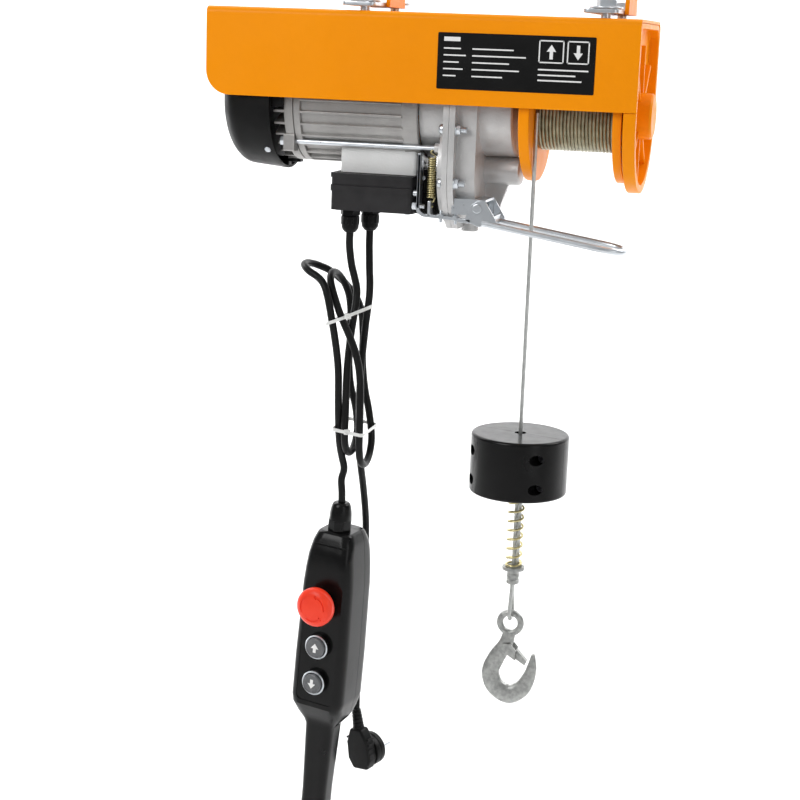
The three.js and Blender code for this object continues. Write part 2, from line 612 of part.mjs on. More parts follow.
function leverBracket() {
  const { x, z, near, far, pin } = PIVOT;
  const inner = 1.2 + GAP;
  return union(
    box(38, 72, near + inner, near + inner + 2.4, -192, -176.5),
    box(60.3, 72, near + inner, far - inner, -178.9, -176.5),
    box(60.3, 72, far - inner - 2.4, far - inner, -192, -176.5),
    box(42, 56, near + inner, -40, -186, -177),
  ).subtract(alongX(twoCircles(GEARBOX.bodyTop + GAP, GEARBOX.bodyLow + GAP), 30, 58))
    .subtract(flangePlate(30, GEARBOX.flangeRight + GAP, GAP))
    .subtract(rodY(pin + GAP, near, far, x, z));
}

function pivotPin() {
  const { x, z, near, far, pin } = PIVOT;
  const out = 1.2 + GAP;
  return union(
    rodY(pin, near - out - 1, far + out + 1, x, z),
    rodY(4.6, near - out - 1.8, near - out, x, z),
    rodY(4.6, far + out, far + out + 1.8, x, z),
  );
}

add('limit_lever', limitLever(), zinc);
add('lever_bracket', leverBracket(), zinc);
add('lever_pivot_pin', pivotPin(), zinc);
add('lever_spring', tube(new Helix(14, -47, -179, -139, 3.6, 11), 0.8, 55, 4), yellowZinc);

// ---------------------------------------------------------------- terminal box
function terminalBase() {
  const { left, right, front, back, top, joint, wall } = BOX;
  return box(left, right, front, back, joint + GAP, top)
    .subtract(box(left + wall, right - wall, front + wall, back - wall, joint - 1, top - wall));
}

function terminalCover() {
  const { left, right, front, back, joint, bottom, wall } = BOX;
  let cover = box(left, right, front, back, bottom, joint)
    .subtract(box(left + wall, right - wall, front + wall, back - wall, bottom + wall, joint + 1));
  for (const { x, y } of GLANDS) {
    cover = cover.subtract(rodZ(6 + GAP, bottom - 1, joint, x, y, 14));
  }
  return cover.subtract(rodX(PLUNGER.radius + GAP, right - 8, right + 2, PLUNGER.y, PLUNGER.z, 24));
}

function gland(x, y) {
  const { bottom } = BOX;
  const end = bottom - GLAND_LENGTH;
  const cap = [[end, 0], [end, 6], [end + 4, 8.6], [bottom - 8, 9.4], [bottom - 8, 0]];
  return union(
    rodZ(6, bottom - 1, bottom + 8, x, y, 14),
    rodZ(10.5, bottom - 9, bottom - GAP, x, y, 6),
    turnedZ(cap, x, y, 12),
  ).subtract(rodZ(CABLE_RADIUS + GAP, end - 1, bottom + 9, x, y, 10));
}

add('terminal_box_base', terminalBase(), blackPlastic);
add('terminal_box_cover', terminalCover(), blackPlastic);
add('start_capacitor', rodX(12, -55, -12, 12, -178, 28), greyPlastic);
for (const { name, x, y } of GLANDS) add(`gland_${name}`, gland(x, y), blackPlastic);
add('limit_switch', box(BOX.right + GAP, 20.5, -38, 6, BOX.bottom, -152), blackPlastic);
add('limit_plunger', rodX(PLUNGER.radius, -14, 0.6, PLUNGER.y, PLUNGER.z, 20), zinc);

// ---------------------------------------------------------------- pendant switch
const pendant = new THREE.Group();
pendant.position.set(PENDANT.x, PENDANT.y, PENDANT.z);
pendant.rotation.set(0, THREE.MathUtils.degToRad(PENDANT.lean), THREE.MathUtils.degToRad(PENDANT.turn));
hoist.add(pendant);

const STEM = 9;
const { face } = BUTTONS;

function pendantForm(inset) {
  const end = -PENDANT.total + inset;
  const halfWidth = [[20, -inset], [24, -12], [29, -50], [31, -140], [31, -188], [26, -212], [17, -224],
    [14.5, -300], [14.5, end]].map(([w, z]) => [w - inset, z]);
  const front = [...halfWidth, ...halfWidth.map(([w, z]) => [-w, z]).reverse()];
  const side = [[-16, -inset], [-24.5, -26], [-24.5, -196], [-11, -217], [-9, -300], [-9, end], [18, end],
    [18, -300], [21, -222], [36.5, -200], [36.5, -20], [28, -inset]]
    .map(([y, z]) => [y - Math.sign(y) * inset, z]);
  return alongY(front, -60, 60).intersect(alongX(side.reverse(), -60, 60));
}

function pendantShell(front) {
  const parting = 14;
  const [y0, y1] = front ? [-80, parting] : [parting + GAP, 80];
  const part = box(-80, 80, y0, y1, -400, 10);
  let shell = pendantForm(0).subtract(pendantForm(2.6)).intersect(part);
  shell = shell.subtract(rodZ(7 + GAP, -10, 10, 0, 0, 24));
  if (front) {
    const { estop, up, down, cap, collar } = BUTTONS;
    const seats = [[up, collar, cap, 5.5], [down, collar, cap, 5.5], [estop, 14, STEM, 3.5]];
    for (const [z, outer, inner, rise] of seats) {
      shell = shell
        .add(rodY(outer, face - rise, face + 3, 0, z, 32))
        .subtract(rodY(inner + GAP, face - 9, face + 9, 0, z, 32));
    }
  }
  return shell;
}

add('pendant_front_shell', pendantShell(true), blackPlastic, pendant);
add('pendant_rear_shell', pendantShell(false), blackPlastic, pendant);
add('pendant_gland', union(rodZ(7, -9, 6, 0, 0, 24), rodZ(13, GAP, 12, 0, 0, 8),
  turnedZ([[11, 0], [11, 12], [26, 10.5], [31, 8], [31, 0]], 0, 0, 24))
  .subtract(rodZ(CABLE_RADIUS + GAP, -12, 33, 0, 0, 20)), blackPlastic, pendant);
add('estop_stem', rodY(STEM, face - 9, face + 10, 0, BUTTONS.estop, 28), greyPlastic, pendant);
const mushroom = [[0, 0], [18, 0], [21, 3], [21, 9], [17.5, 13], [0, 14.5]]
  .map(([r, y]) => new THREE.Vector2(r, y));
const head = new THREE.LatheGeometry(mushroom, 40).rotateX(Math.PI);
head.translate(0, face - STEM - GAP, BUTTONS.estop);
add('estop_head', solidOf(head), redPlastic, pendant);
for (const name of ['up', 'down']) {
  add(`${name}_button`, rodY(BUTTONS.cap, face - 9.5, face + 9, 0, BUTTONS[name], 32), greyPlastic, pendant);
}

// ---------------------------------------------------------------- cables and plug
const glandEnd = BOX.bottom - GLAND_LENGTH;
const pendantTop = new THREE.Vector3(0, 0, 31.2).applyEuler(pendant.rotation).add(pendant.position);

function cableHank() {
  const { x0, x1, y, depth, top, bottom } = HANK;
  const shape = new THREE.Shape();
  shape.absarc(y, top - depth, depth, 0, Math.PI, false);
  shape.absarc(y, bottom + depth, depth, Math.PI, 2 * Math.PI, false);
  const lobe = new THREE.Shape();
  lobe.absarc(-114.5, -271, 13, 0.25 * Math.PI, 1.25 * Math.PI, false);
  lobe.lineTo(-78, -318);
  lobe.lineTo(-62, -300);
  return alongX(shape, x0, x1).add(alongY(lobe, y - depth, y + depth));
}

const cables = {
  control_cable_upper: [[-77, -20, glandEnd - GAP], [-77, -20, -235], [-75, -17, -255], [-70, -12, -282.4]],
  power_cable_upper: [[-64, 8, glandEnd - GAP], [-64, 8, -236], [-62, 5, -262], [-59, -2, -283]],
  control_cable_lower: [[-77, -16, -472], [-79, -18, -486], [pendantTop.x, pendantTop.y, pendantTop.z + 8],
    [pendantTop.x, pendantTop.y, pendantTop.z]],
  power_cable_lower: [[-64, 2, -472], [-65, 20, -505], [-66, 36, -545], [-68, 44, -600], [-72, 44, -660],
    [-72, 42, -720], [-70.5, 38, -765.4]],
};
add('cable_hank', cableHank(), blackRubber);
for (const [name, points] of Object.entries(cables)) {
  add(name, tube(smooth(points), CABLE_RADIUS, name === 'power_cable_lower' ? 20 : 5), blackRubber);
}

// An angled plug: the cable comes in from above, behind the round face that holds the pins.
function plug() {
  const grip = [[-8, -22], [8, -22], [15, -38], [16, -58], [10, -70], [-10, -70], [-16, -58], [-15, -38]];
  const pins = [-9.5, 9.5].map((x) => rodY(2.4, 15, 35, x, -52, 16));
  return union(
    turnedZ([[-26, 0], [-26, 6.8], [0, 5], [0, 0]], 0, -4, 20),
    alongY(grip, -11, 3),
    rodY(19, 2, 16, 0, -52, 40),
    ...pins,
  ).translate([0, 4, 0]).rotate([0, 0, -23]).rotate([0, -9, 0]).translate([-70.5, 38, -766]);
}

add('plug', plug(), blackRubber);

export default hoist;
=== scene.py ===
import json
from math import atan2, cos, pi, radians, sin, sqrt, tau

import bmesh
import bpy
from mathutils import Matrix, Vector

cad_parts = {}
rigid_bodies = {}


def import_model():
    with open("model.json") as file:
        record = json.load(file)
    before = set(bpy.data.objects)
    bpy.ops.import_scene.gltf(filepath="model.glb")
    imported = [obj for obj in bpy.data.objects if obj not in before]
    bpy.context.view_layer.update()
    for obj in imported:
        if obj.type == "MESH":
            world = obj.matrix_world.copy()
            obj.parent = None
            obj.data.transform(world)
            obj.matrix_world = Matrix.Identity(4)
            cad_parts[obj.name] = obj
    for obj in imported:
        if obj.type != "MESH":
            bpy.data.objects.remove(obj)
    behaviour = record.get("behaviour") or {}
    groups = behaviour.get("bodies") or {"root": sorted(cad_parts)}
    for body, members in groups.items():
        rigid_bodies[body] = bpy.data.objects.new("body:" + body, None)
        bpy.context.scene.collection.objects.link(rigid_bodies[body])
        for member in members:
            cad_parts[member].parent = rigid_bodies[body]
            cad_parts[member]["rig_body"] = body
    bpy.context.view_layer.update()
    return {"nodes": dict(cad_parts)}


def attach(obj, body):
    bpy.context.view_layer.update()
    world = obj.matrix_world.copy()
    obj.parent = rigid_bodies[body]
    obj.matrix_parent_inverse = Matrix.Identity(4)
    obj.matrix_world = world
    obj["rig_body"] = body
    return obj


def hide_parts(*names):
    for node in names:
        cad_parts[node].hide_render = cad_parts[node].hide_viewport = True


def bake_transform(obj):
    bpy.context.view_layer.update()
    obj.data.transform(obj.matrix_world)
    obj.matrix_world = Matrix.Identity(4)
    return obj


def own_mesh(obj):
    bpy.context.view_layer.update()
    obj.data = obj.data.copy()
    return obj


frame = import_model()
nodes = frame["nodes"]

# ---------------------------------------------------------------- driving dimensions, in millimetres
# Heights are from the top of the steel channel and X is from its middle.
MM = 0.001
TO_ROW = Matrix.Scale(MM, 4) @ Matrix.Translation((42, 0, -72))
FRAME = {"half": 215, "width": 75, "height": 86, "sheet": 3, "bend": 6.5, "rear_bend": 11, "corner": 24}
AXIS_Z = -91
SHAFT_Z = -151
MAIN_AXIS = (0, AXIS_Z)
SHAFT_AXIS = (0, SHAFT_Z)
HANGERS = {"left": -58, "right": 178}
HANGER_BOLTS = {"front": -54, "rear": 54}
FLANGE_BOLTS = {"front": -61.2, "rear": 61.2}
FLANGE_BOLT_HEIGHTS = {"upper": -110, "lower": -162}
MOTOR = {"left": -128.3, "right": -1, "radius": 57, "fin": 3.2, "fins": 30}
TIE_ROD = {"y": 45, "z": -130}
FAN = {"left": -210, "wall": -184, "rim": -150, "radius": 69.5, "wall_radius": 66.5}
DRUM = {"left": 101.5, "left_flange": 11, "right": 200.6, "right_flange": 8.6, "left_radius": 68.5,
        "right_radius": 66, "core": 27, "rope": 37.5}
COVER = {"left": 203, "right": 215, "radius": 75, "web": 205.5, "boss": 23, "boss_end": 223}
ROPE = {"x": 115, "y": -39.5, "radius": 2}
BLOCK = {"radius": 49.5, "top": -409.6, "low": -470.6, "bore": 5.8}
BLOCK_PLACE = Matrix.Translation((ROPE["x"], ROPE["y"], 0)) @ Matrix.Rotation(radians(-16), 4, "Z")
HOOK_EYE_Z = -612
BOX = {"left": -90, "right": -4, "front": -50, "back": 34, "top": -159, "joint": -171, "bottom": -196}
GLANDS = {"control": (-77, -20), "power": (-64, 8)}
CABLE = 3.9
PIVOT = (64.4, -185)
LEVER = {"near": -60, "far": -18}
LEVER_SPRING = {"x": 14, "y": -47, "low": -179, "high": -139}
PLUNGER = (-44, -175)
LABEL_FACE = -75.4
PENDANT_PLACE = Matrix.Translation((-79, -20, -539.5)) @ Matrix.Rotation(radians(3.6), 4, "Y") \
    @ Matrix.Rotation(radians(-10), 4, "Z")
PLUG_PLACE = Matrix.Translation((-70.5, 38, -766)) @ Matrix.Rotation(radians(-9), 4, "Y") \
    @ Matrix.Rotation(radians(-23), 4, "Z")

# ---------------------------------------------------------------- fineness of the surfaces
FINE = 96  # sides of a large turned surface
SHARP = 32  # an edge that turns by more degrees than this is rounded

# ---------------------------------------------------------------- camera, floor and light
CAMERA = {"place": (415.2, -1638.6, -25.6), "yaw": -14.96, "pitch": 12.34, "roll": -2.11, "lens": 74.27}


def add_camera():
    yaw, pitch, roll = (radians(CAMERA[k]) for k in ("yaw", "pitch", "roll"))
    forward = Vector((sin(yaw) * cos(pitch), cos(yaw) * cos(pitch), -sin(pitch)))
    level = Vector((cos(yaw), -sin(yaw), 0))
    under = forward.cross(level)
    right = cos(roll) * level + sin(roll) * under
    down = -sin(roll) * level + cos(roll) * under
    data = bpy.data.cameras.new("camera")
    data.lens = CAMERA["lens"]
    data.sensor_width = 36
    data.clip_end = 60
    camera = bpy.data.objects.new("camera", data)
    place = TO_ROW @ Vector(CAMERA["place"])
    camera.matrix_world = Matrix.Translation(place) @ Matrix((right, -down, -forward)).transposed().to_4x4()
    bpy.context.scene.collection.objects.link(camera)
    bpy.context.scene.camera = camera


def add_light(name, place, target, size, power, color=(1, 1, 1)):
    data = bpy.data.lights.new(name, "AREA")
    data.shape = "RECTANGLE"
    data.size, data.size_y = size
    data.energy = power
    data.color = color
    light = bpy.data.objects.new(name, data)
    light.location = place
    light.rotation_euler = (Vector(target) - Vector(place)).to_track_quat("-Z", "Y").to_euler()
    bpy.context.scene.collection.objects.link(light)


def add_floor():
    """A pale floor below the hanging hoist that curves up into a wall far behind it."""
    floor_z, wall_y, bend, half = -1.2, 4.0, 1.2, 9.0
    line = [(-7.0, floor_z), (wall_y - bend, floor_z)]
    line += [(wall_y - bend + bend * sin(a), floor_z + bend - bend * cos(a))
             for a in (pi / 2 * i / 12 for i in range(1, 13))]
    line.append((wall_y, 7.0))
    verts = [(x, y, z) for y, z in line for x in (-half, half)]
    faces = [(2 * i, 2 * i + 1, 2 * i + 3, 2 * i + 2) for i in range(len(line) - 1)]
    mesh = bpy.data.meshes.new("floor")
    mesh.from_pydata(verts, [], faces)
    mesh.shade_smooth()
    floor = bpy.data.objects.new("floor", mesh)
    bpy.context.scene.collection.objects.link(floor)
    look = bpy.data.materials.new("floor")
    look.use_nodes = True
    shader = look.node_tree.nodes["Principled BSDF"]
    shader.inputs["Base Color"].default_value = (0.93, 0.93, 0.93, 1)
    shader.inputs["Roughness"].default_value = 0.9
    mesh.materials.append(look)


def add_studio():
    world = bpy.data.worlds.new("studio")
    bpy.context.scene.world = world
    world.use_nodes = True
    world.node_tree.nodes["Background"].inputs["Color"].default_value = (0.97, 0.985, 1, 1)
    world.node_tree.nodes["Background"].inputs["Strength"].default_value = 0.34
    bpy.context.scene.view_settings.view_transform = "Standard"
    middle = (0.05, 0, -0.35)
    add_light("key", (-1.3, -2.2, 1.1), middle, (1.4, 1.4), 37)
    add_light("fill", (2.0, -1.8, -0.1), middle, (0.9, 1.8), 7)
    add_light("top", (0.2, 0.1, 1.9), middle, (2.0, 1.2), 10)
    add_light("rim_left", (-1.7, 0.7, -0.2), middle, (0.5, 1.8), 8)
    add_light("backdrop_left", (-2.5, 1.6, 2.2), (-1.0, 4.0, 0.0), (2.5, 2.5), 140)
    add_light("backdrop_right", (2.5, 1.6, 2.2), (1.0, 4.0, 0.0), (2.5, 2.5), 140)


add_camera()
add_floor()
add_studio()


# ---------------------------------------------------------------- materials
class Look:
    """A material on the Principled shader, with helpers for the texture nodes that drive it."""

    def __init__(self, name, roughness, metallic=0.0, **constants):
        self.material = bpy.data.materials.new(name)
        self.material.use_nodes = True
        self.tree = self.material.node_tree
        self.shader = self.tree.nodes["Principled BSDF"]
        self.shader.inputs["Roughness"].default_value = roughness
        self.shader.inputs["Metallic"].default_value = metallic
        for socket, value in constants.items():
            self.shader.inputs[socket.replace("_", " ")].default_value = value
        self.place = self.tree.nodes.new("ShaderNodeTexCoord").outputs["Object"]
        self.height = None

    def node(self, kind, **values):
        made = self.tree.nodes.new(kind)
        for key, value in values.items():
            if key in made.inputs:
                made.inputs[key].default_value = value
            else:
                setattr(made, key, value)
        return made

    def stretched(self, scale):
        mapping = self.node("ShaderNodeMapping")
        mapping.inputs["Scale"].default_value = scale
        self.tree.links.new(self.place, mapping.inputs["Vector"])
        return mapping.outputs["Vector"]

    def noise(self, scale, detail=4, stretch=None):
        made = self.node("ShaderNodeTexNoise", Scale=scale, Detail=detail)
        self.tree.links.new(self.stretched(stretch) if stretch else self.place, made.inputs["Vector"])
        return made.outputs["Fac"]

    def between(self, factor, low, high, start=0.3, end=0.7):
        ramp = self.node("ShaderNodeValToRGB")
        for stop, at, value in zip(ramp.color_ramp.elements, (start, end), (low, high)):
            stop.position = at
            stop.color = (*value, 1) if isinstance(value, tuple) else (value, value, value, 1)
        self.tree.links.new(factor, ramp.inputs["Fac"])
        return ramp.outputs["Color"]

    def color(self, factor, low, high, start=0.3, end=0.7):
        self.tree.links.new(self.between(factor, low, high, start, end), self.shader.inputs["Base Color"])
        return self

    def roughness(self, factor, low, high, start=0.3, end=0.7):
        self.tree.links.new(self.between(factor, low, high, start, end), self.shader.inputs["Roughness"])
        return self

    def bump(self, factor, depth, strength=1.0):
        made = self.node("ShaderNodeBump", Distance=depth, Strength=strength)
        self.tree.links.new(factor, made.inputs["Height"])
        if self.height is not None:
            self.tree.links.new(self.height, made.inputs["Normal"])
        self.height = made.outputs["Normal"]
        self.tree.links.new(self.height, self.shader.inputs["Normal"])
        return self


def powder_coat():
    look = Look("orange_powder_coat", 0.38, Specular_IOR_Level=0.1, Coat_Weight=0.03, Coat_Roughness=0.2)
    look.color(look.noise(7, 3), (0.90, 0.280, 0.001), (0.96, 0.312, 0.002))
    look.roughness(look.noise(60, 5), 0.3, 0.42)
    return look.bump(look.noise(700, 2), 0.0004, 0.35).material


def cast_metal(name, low, high, metallic=0.65, roughness=(0.38, 0.56)):
    look = Look(name, 0.45, metallic)
    look.color(look.noise(22, 6), low, high)
    look.roughness(look.noise(130, 6), *roughness)
    look.bump(look.noise(420, 5), 0.0006, 0.5)
    return look.bump(look.noise(45, 4), 0.0012, 0.25).material


def zinc_plate(name, low, high, roughness=(0.27, 0.34)):
    look = Look(name, 0.3, 0.95)
    look.color(look.noise(140, 4), low, high)
    look.roughness(look.noise(160, 5), *roughness)
    return look.bump(look.noise(600, 3), 0.00005, 0.3).material


def galvanised():
    look = Look("galvanised_forging", 0.42, 0.9)
    look.color(look.noise(260, 5), (0.30, 0.305, 0.295), (0.44, 0.445, 0.43), 0.35, 0.65)
    look.roughness(look.noise(120, 5), 0.34, 0.5)
    return look.bump(look.noise(300, 5), 0.0003, 0.5).material


def machined_steel():
    look = Look("machined_steel", 0.35, 0.95)
    look.color(look.noise(30, 5), (0.30, 0.31, 0.32), (0.42, 0.43, 0.44))
    look.roughness(look.noise(60, 3, (12, 1, 1)), 0.25, 0.42)
    return look.bump(look.noise(500, 2, (14, 1, 1)), 0.0002, 0.4).material


def moulded(name, low, high, roughness, grain=1400, depth=0.00012, shine=0.22, **constants):
    look = Look(name, roughness[0], 0.0, Specular_IOR_Level=shine, **constants)
    look.color(look.noise(40, 4), low, high)
    look.roughness(look.noise(90, 6), *roughness)
    return look.bump(look.noise(grain, 2), depth, 0.4).material


def winding_wire():
    look = Look("copper_winding", 0.35, 0.85)
    look.color(look.noise(60, 3), (0.42, 0.16, 0.05), (0.60, 0.26, 0.09))
    return look.bump(look.noise(900, 2, (0.1, 6, 6)), 0.0006, 0.7).material


orange = powder_coat()
# The finned motor housing and its end bell get a darker copy of the cast aluminium: painted shade of the
# grooves between the fins. The gearbox castings keep the lighter copy of the same metal.
shaded_motor_aluminium = cast_metal("ribbed_aluminium_painted_shade", (0.30, 0.29, 0.28), (0.42, 0.41, 0.40))
aluminium = cast_metal("cast_aluminium", (0.50, 0.495, 0.49), (0.64, 0.635, 0.63))
pale_aluminium = cast_metal("box_seat_aluminium", (0.72, 0.72, 0.71), (0.82, 0.82, 0.81), 0.1, (0.48, 0.6))
zinc = zinc_plate("zinc_plate", (0.62, 0.65, 0.68), (0.68, 0.71, 0.74))
forged = galvanised()
yellow_zinc = zinc_plate("yellow_zinc", (0.52, 0.45, 0.22), (0.66, 0.58, 0.33))
dark_steel = zinc_plate("blued_thread", (0.05, 0.05, 0.055), (0.12, 0.12, 0.13), (0.35, 0.5))
steel = machined_steel()
copper = winding_wire()
black = moulded("black_plastic", (0.006, 0.006, 0.006), (0.010, 0.010, 0.010), (0.34, 0.48), shine=0.12)
box_black = moulded("box_black_plastic", (0.024, 0.023, 0.024), (0.034, 0.033, 0.034), (0.4, 0.52),
                    shine=0.15)
gloss_black = moulded("gloss_black_plastic", (0.003, 0.003, 0.003), (0.006, 0.006, 0.006), (0.16, 0.27),
                      300, 0.00008, 0.2)
rubber = moulded("black_sheath", (0.006, 0.006, 0.006), (0.010, 0.010, 0.010), (0.36, 0.46), 900,
                 shine=0.16)
red = moulded("red_plastic", (0.86, 0.040, 0.014), (0.93, 0.055, 0.020), (0.26, 0.36), 500, shine=0.3)
grey = moulded("grey_plastic", (0.085, 0.088, 0.092), (0.12, 0.124, 0.13), (0.2, 0.3), shine=0.5,
               Coat_Weight=0.2)
white_print = moulded("white_print", (0.78, 0.78, 0.77), (0.84, 0.84, 0.83), (0.4, 0.5))
nylon = moulded("white_nylon", (0.74, 0.74, 0.72), (0.82, 0.82, 0.80), (0.32, 0.42))
rope_metal = zinc_plate("rope_wire", (0.46, 0.47, 0.46), (0.62, 0.63, 0.61), (0.3, 0.45))
oiled_rope = zinc_plate("oiled_rope_wire", (0.20, 0.185, 0.125), (0.34, 0.32, 0.22), (0.32, 0.48))
label_black = moulded("label_black", (0.006, 0.006, 0.006), (0.009, 0.009, 0.009), (0.3, 0.36), shine=0.12)

SLOTS = {
    "orange_paint": [orange], "cast_aluminium": [shaded_motor_aluminium, aluminium, pale_aluminium],
    "zinc": [zinc, forged, dark_steel, rope_metal], "yellow_zinc": [yellow_zinc], "steel": [oiled_rope],
    "black_plastic": [black, box_black, gloss_black, label_black], "black_rubber": [rubber],
    "red_plastic": [red], "grey_plastic": [grey, white_print, nylon],
}
SLOT_OF = {look.name: slot for slot, looks in SLOTS.items() for look in looks}


# ---------------------------------------------------------------- mesh building, in millimetres
def solid(name, verts, faces):
    mesh = bpy.data.meshes.new(name)
    mesh.from_pydata([tuple(v) for v in verts], [], faces)
    mesh.update()
    obj = bpy.data.objects.new(name, mesh)
    bpy.context.scene.collection.objects.link(obj)
    return obj


def loft(name, rings, closed=False):
    """A skin over rings of equal point counts, capped at both ends unless it closes on itself."""
    count = len(rings[0])
    verts = [v for ring in rings for v in ring]
    faces = []
    for i in range(len(rings) if closed else len(rings) - 1):
        a, b = i * count, ((i + 1) % len(rings)) * count
        faces += [(a + j, a + (j + 1) % count, b + (j + 1) % count, b + j) for j in range(count)]
    if not closed:
        faces.append(tuple(reversed(range(count))))
        faces.append(tuple(range(len(verts) - count, len(verts))))
    return solid(name, verts, faces)


def turned(name, profile, axis="X", centre=(0, 0), segments=64):
    """A turned solid from (along, radius) pairs. Centre is the axis's place across, in X, Y, Z order."""
    a, b = centre
    closed = profile[0] == profile[-1]
    profile = profile[:-1] if closed else profile
    place = {"X": lambda t, p, q: (t, a + p, b + q), "Y": lambda t, p, q: (a + p, t, b + q),
             "Z": lambda t, p, q: (a + p, b + q, t)}[axis]
    sign = -1 if axis == "Y" else 1
    rings = [[place(t, r * cos(sign * tau * i / segments), r * sin(sign * tau * i / segments))
              for i in range(segments)] for t, r in profile]
    return fixed(loft(name, rings, closed))


def arc(cx, cy, radius, start, end, steps):
    """Points on an arc, with its angles in degrees."""
    return [(cx + radius * cos(radians(start + (end - start) * i / steps)),
             cy + radius * sin(radians(start + (end - start) * i / steps))) for i in range(steps + 1)]


def rounded(corners, radius, steps=6):
    """An outline whose corners are rounded. Radius is one number, or one for each corner."""
    radii = radius if isinstance(radius, (list, tuple)) else [radius] * len(corners)
    points = []
    for i, corner in enumerate(corners):
        here = Vector(corner)
        before = Vector(corners[i - 1]) - here
        after = Vector(corners[(i + 1) % len(corners)]) - here
        reach = min(radii[i], before.length * 0.49, after.length * 0.49)
        if reach < 0.01:
            points.append(tuple(here))
            continue
        p, q = here + before.normalized() * reach, here + after.normalized() * reach
        points += [tuple((1 - t) ** 2 * p + 2 * t * (1 - t) * here + t * t * q)
                   for t in (k / steps for k in range(steps + 1))]
    return points


def extruded(name, outline, axis, low, high):
    """An outline in the plane across the axis, as pairs in X, Y, Z order, extruded along the axis."""
    place = {"X": lambda t, p, q: (t, p, q), "Y": lambda t, p, q: (p, t, q), "Z": lambda t, p,
             q: (p, q, t)}[axis]
    return fixed(loft(name, [[place(t, p, q) for p, q in outline] for t in (low, high)]))


def fixed(obj):
    """Turns every face outwards."""
    data = bmesh.new()
    data.from_mesh(obj.data)
    bmesh.ops.recalc_face_normals(data, faces=data.faces)
    data.to_mesh(obj.data)
    data.free()
    return obj


def block(name, x, y, z, radius=0, axis="Z"):
    """A box from its (low, high) pairs, with the edges along one axis rounded."""
    spans = {"X": (y, z, x), "Y": (x, z, y), "Z": (x, y, z)}[axis]
    (a0, a1), (b0, b1), (low, high) = spans
    outline = rounded([(a0, b0), (a1, b0), (a1, b1), (a0, b1)], radius)
    return extruded(name, outline, axis, low, high)


def carried_frames(points):
    """Each point of a line with two directions square to it, carried along without a twist."""
    points = [Vector(p) for p in points]
    normal = None
    for i, point in enumerate(points):
        tangent = (points[min(i + 1, len(points) - 1)] - points[max(i - 1, 0)]).normalized()
        normal = tangent.orthogonal() if normal is None else normal
        normal = (normal - tangent * normal.dot(tangent)).normalized()
        yield point, normal, tangent.cross(normal)


def sweep(name, points, radius, sides=10):
    """A round tube through points."""
    turns = [tau * k / sides for k in range(sides)]
    return loft(name, [[point + (normal * cos(a) + across * sin(a)) * radius for a in turns]
                       for point, normal, across in carried_frames(points)])


def smooth_line(points, steps=8):
    """A centripetal Catmull-Rom line through points."""
    points = [Vector(p) for p in points]
    ends = [points[0] * 2 - points[1], *points, points[-1] * 2 - points[-2]]
    line = [points[0]]
    for p0, p1, p2, p3 in zip(ends, ends[1:], ends[2:], ends[3:]):
        t1 = sqrt((p1 - p0).length)
        t2 = t1 + sqrt((p2 - p1).length)
        t3 = t2 + sqrt((p3 - p2).length)
        for k in range(1, steps + 1):
            t = t1 + (t2 - t1) * k / steps
            a1 = p0 * ((t1 - t) / t1) + p1 * (t / t1)
            a2 = p1 * ((t2 - t) / (t2 - t1)) + p2 * ((t - t1) / (t2 - t1))
            a3 = p2 * ((t3 - t) / (t3 - t2)) + p3 * ((t - t2) / (t3 - t2))
            b1 = a1 * ((t2 - t) / t2) + a2 * (t / t2)
            b2 = a2 * ((t3 - t) / (t3 - t1)) + a3 * ((t - t1) / (t3 - t1))
            line.append(b1 * ((t2 - t) / (t2 - t1)) + b2 * ((t - t1) / (t2 - t1)))
    return line


def moved(obj, matrix):
    obj.data.transform(matrix)
    return obj


def together(name, *parts):
    """One object from several, without joining their surfaces."""
    with bpy.context.temp_override(active_object=parts[0], selected_editable_objects=list(parts)):
        bpy.ops.object.join()
    parts[0].name = name
    return parts[0]


def baked(obj):
    """Applies the modifiers."""
    bpy.context.view_layer.update()
    made = bpy.data.meshes.new_from_object(obj.evaluated_get(bpy.context.evaluated_depsgraph_get()))
    obj.modifiers.clear()
    obj.data = made
    return obj


def combined(obj, tool, operation):
    change = obj.modifiers.new("change", "BOOLEAN")
    change.operation = operation
    change.solver = "EXACT"
    change.object = tool
    baked(obj)
    bpy.data.objects.remove(tool)
    return obj


def cut(obj, *tools):
    for tool in tools:
        combined(obj, tool, "DIFFERENCE")
    return obj


def welded(obj, *others):
    for other in others:
        combined(obj, other, "UNION")
    return obj


def bevel(obj, width, steps):
    """A modifier that rounds the sharp edges."""
    change = obj.modifiers.new("edges", "BEVEL")
    change.width = width
    change.segments = steps
    change.limit_method = "ANGLE"
    change.angle_limit = radians(SHARP)


def softened(obj, width, steps=2):
    """Rounds the sharp edges for good."""
    bevel(obj, width, steps)
    return baked(obj)


def shaded(obj, angle=38):
    obj.data.shade_smooth()
    obj.data.set_sharp_from_angle(angle=radians(angle))
    return obj


def piece(obj, look, replaces=(), edge=0.5, steps=2, angle=38, body="hoist_frame", slot=None):
    """Finishes a piece: soft edges, material, place in the row's frame, and the body that it rides on."""
    if edge:
        softened(obj, edge, steps)
    obj.data.transform(TO_ROW)
    obj.data.materials.clear()
    obj.data.materials.append(look)
    shaded(obj, angle)
    obj.modifiers.new("flat_faces", "WEIGHTED_NORMAL").keep_sharp = True
    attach(obj, body)
    slot or SLOT_OF[look.name]
    if replaces:
        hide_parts(*replaces)
    return obj


def dress(name, look, edge):
    """Keeps a CAD node, with soft edges and a better material."""
    obj = nodes[name]
    obj.data.materials.clear()
    obj.data.materials.append(look)
    bevel(obj, edge * MM, 2)
    return shaded(obj, SHARP)


def about_axis(angle):
    """A turn about the main axis, in degrees."""
    return Matrix.Translation((0, 0, AXIS_Z)) @ Matrix.Rotation(radians(angle), 4, "X")


def rod(name, axis, radius, low, high, centre, segments=48):
    return turned(name, [(low, radius), (high, radius)], axis, centre, segments)


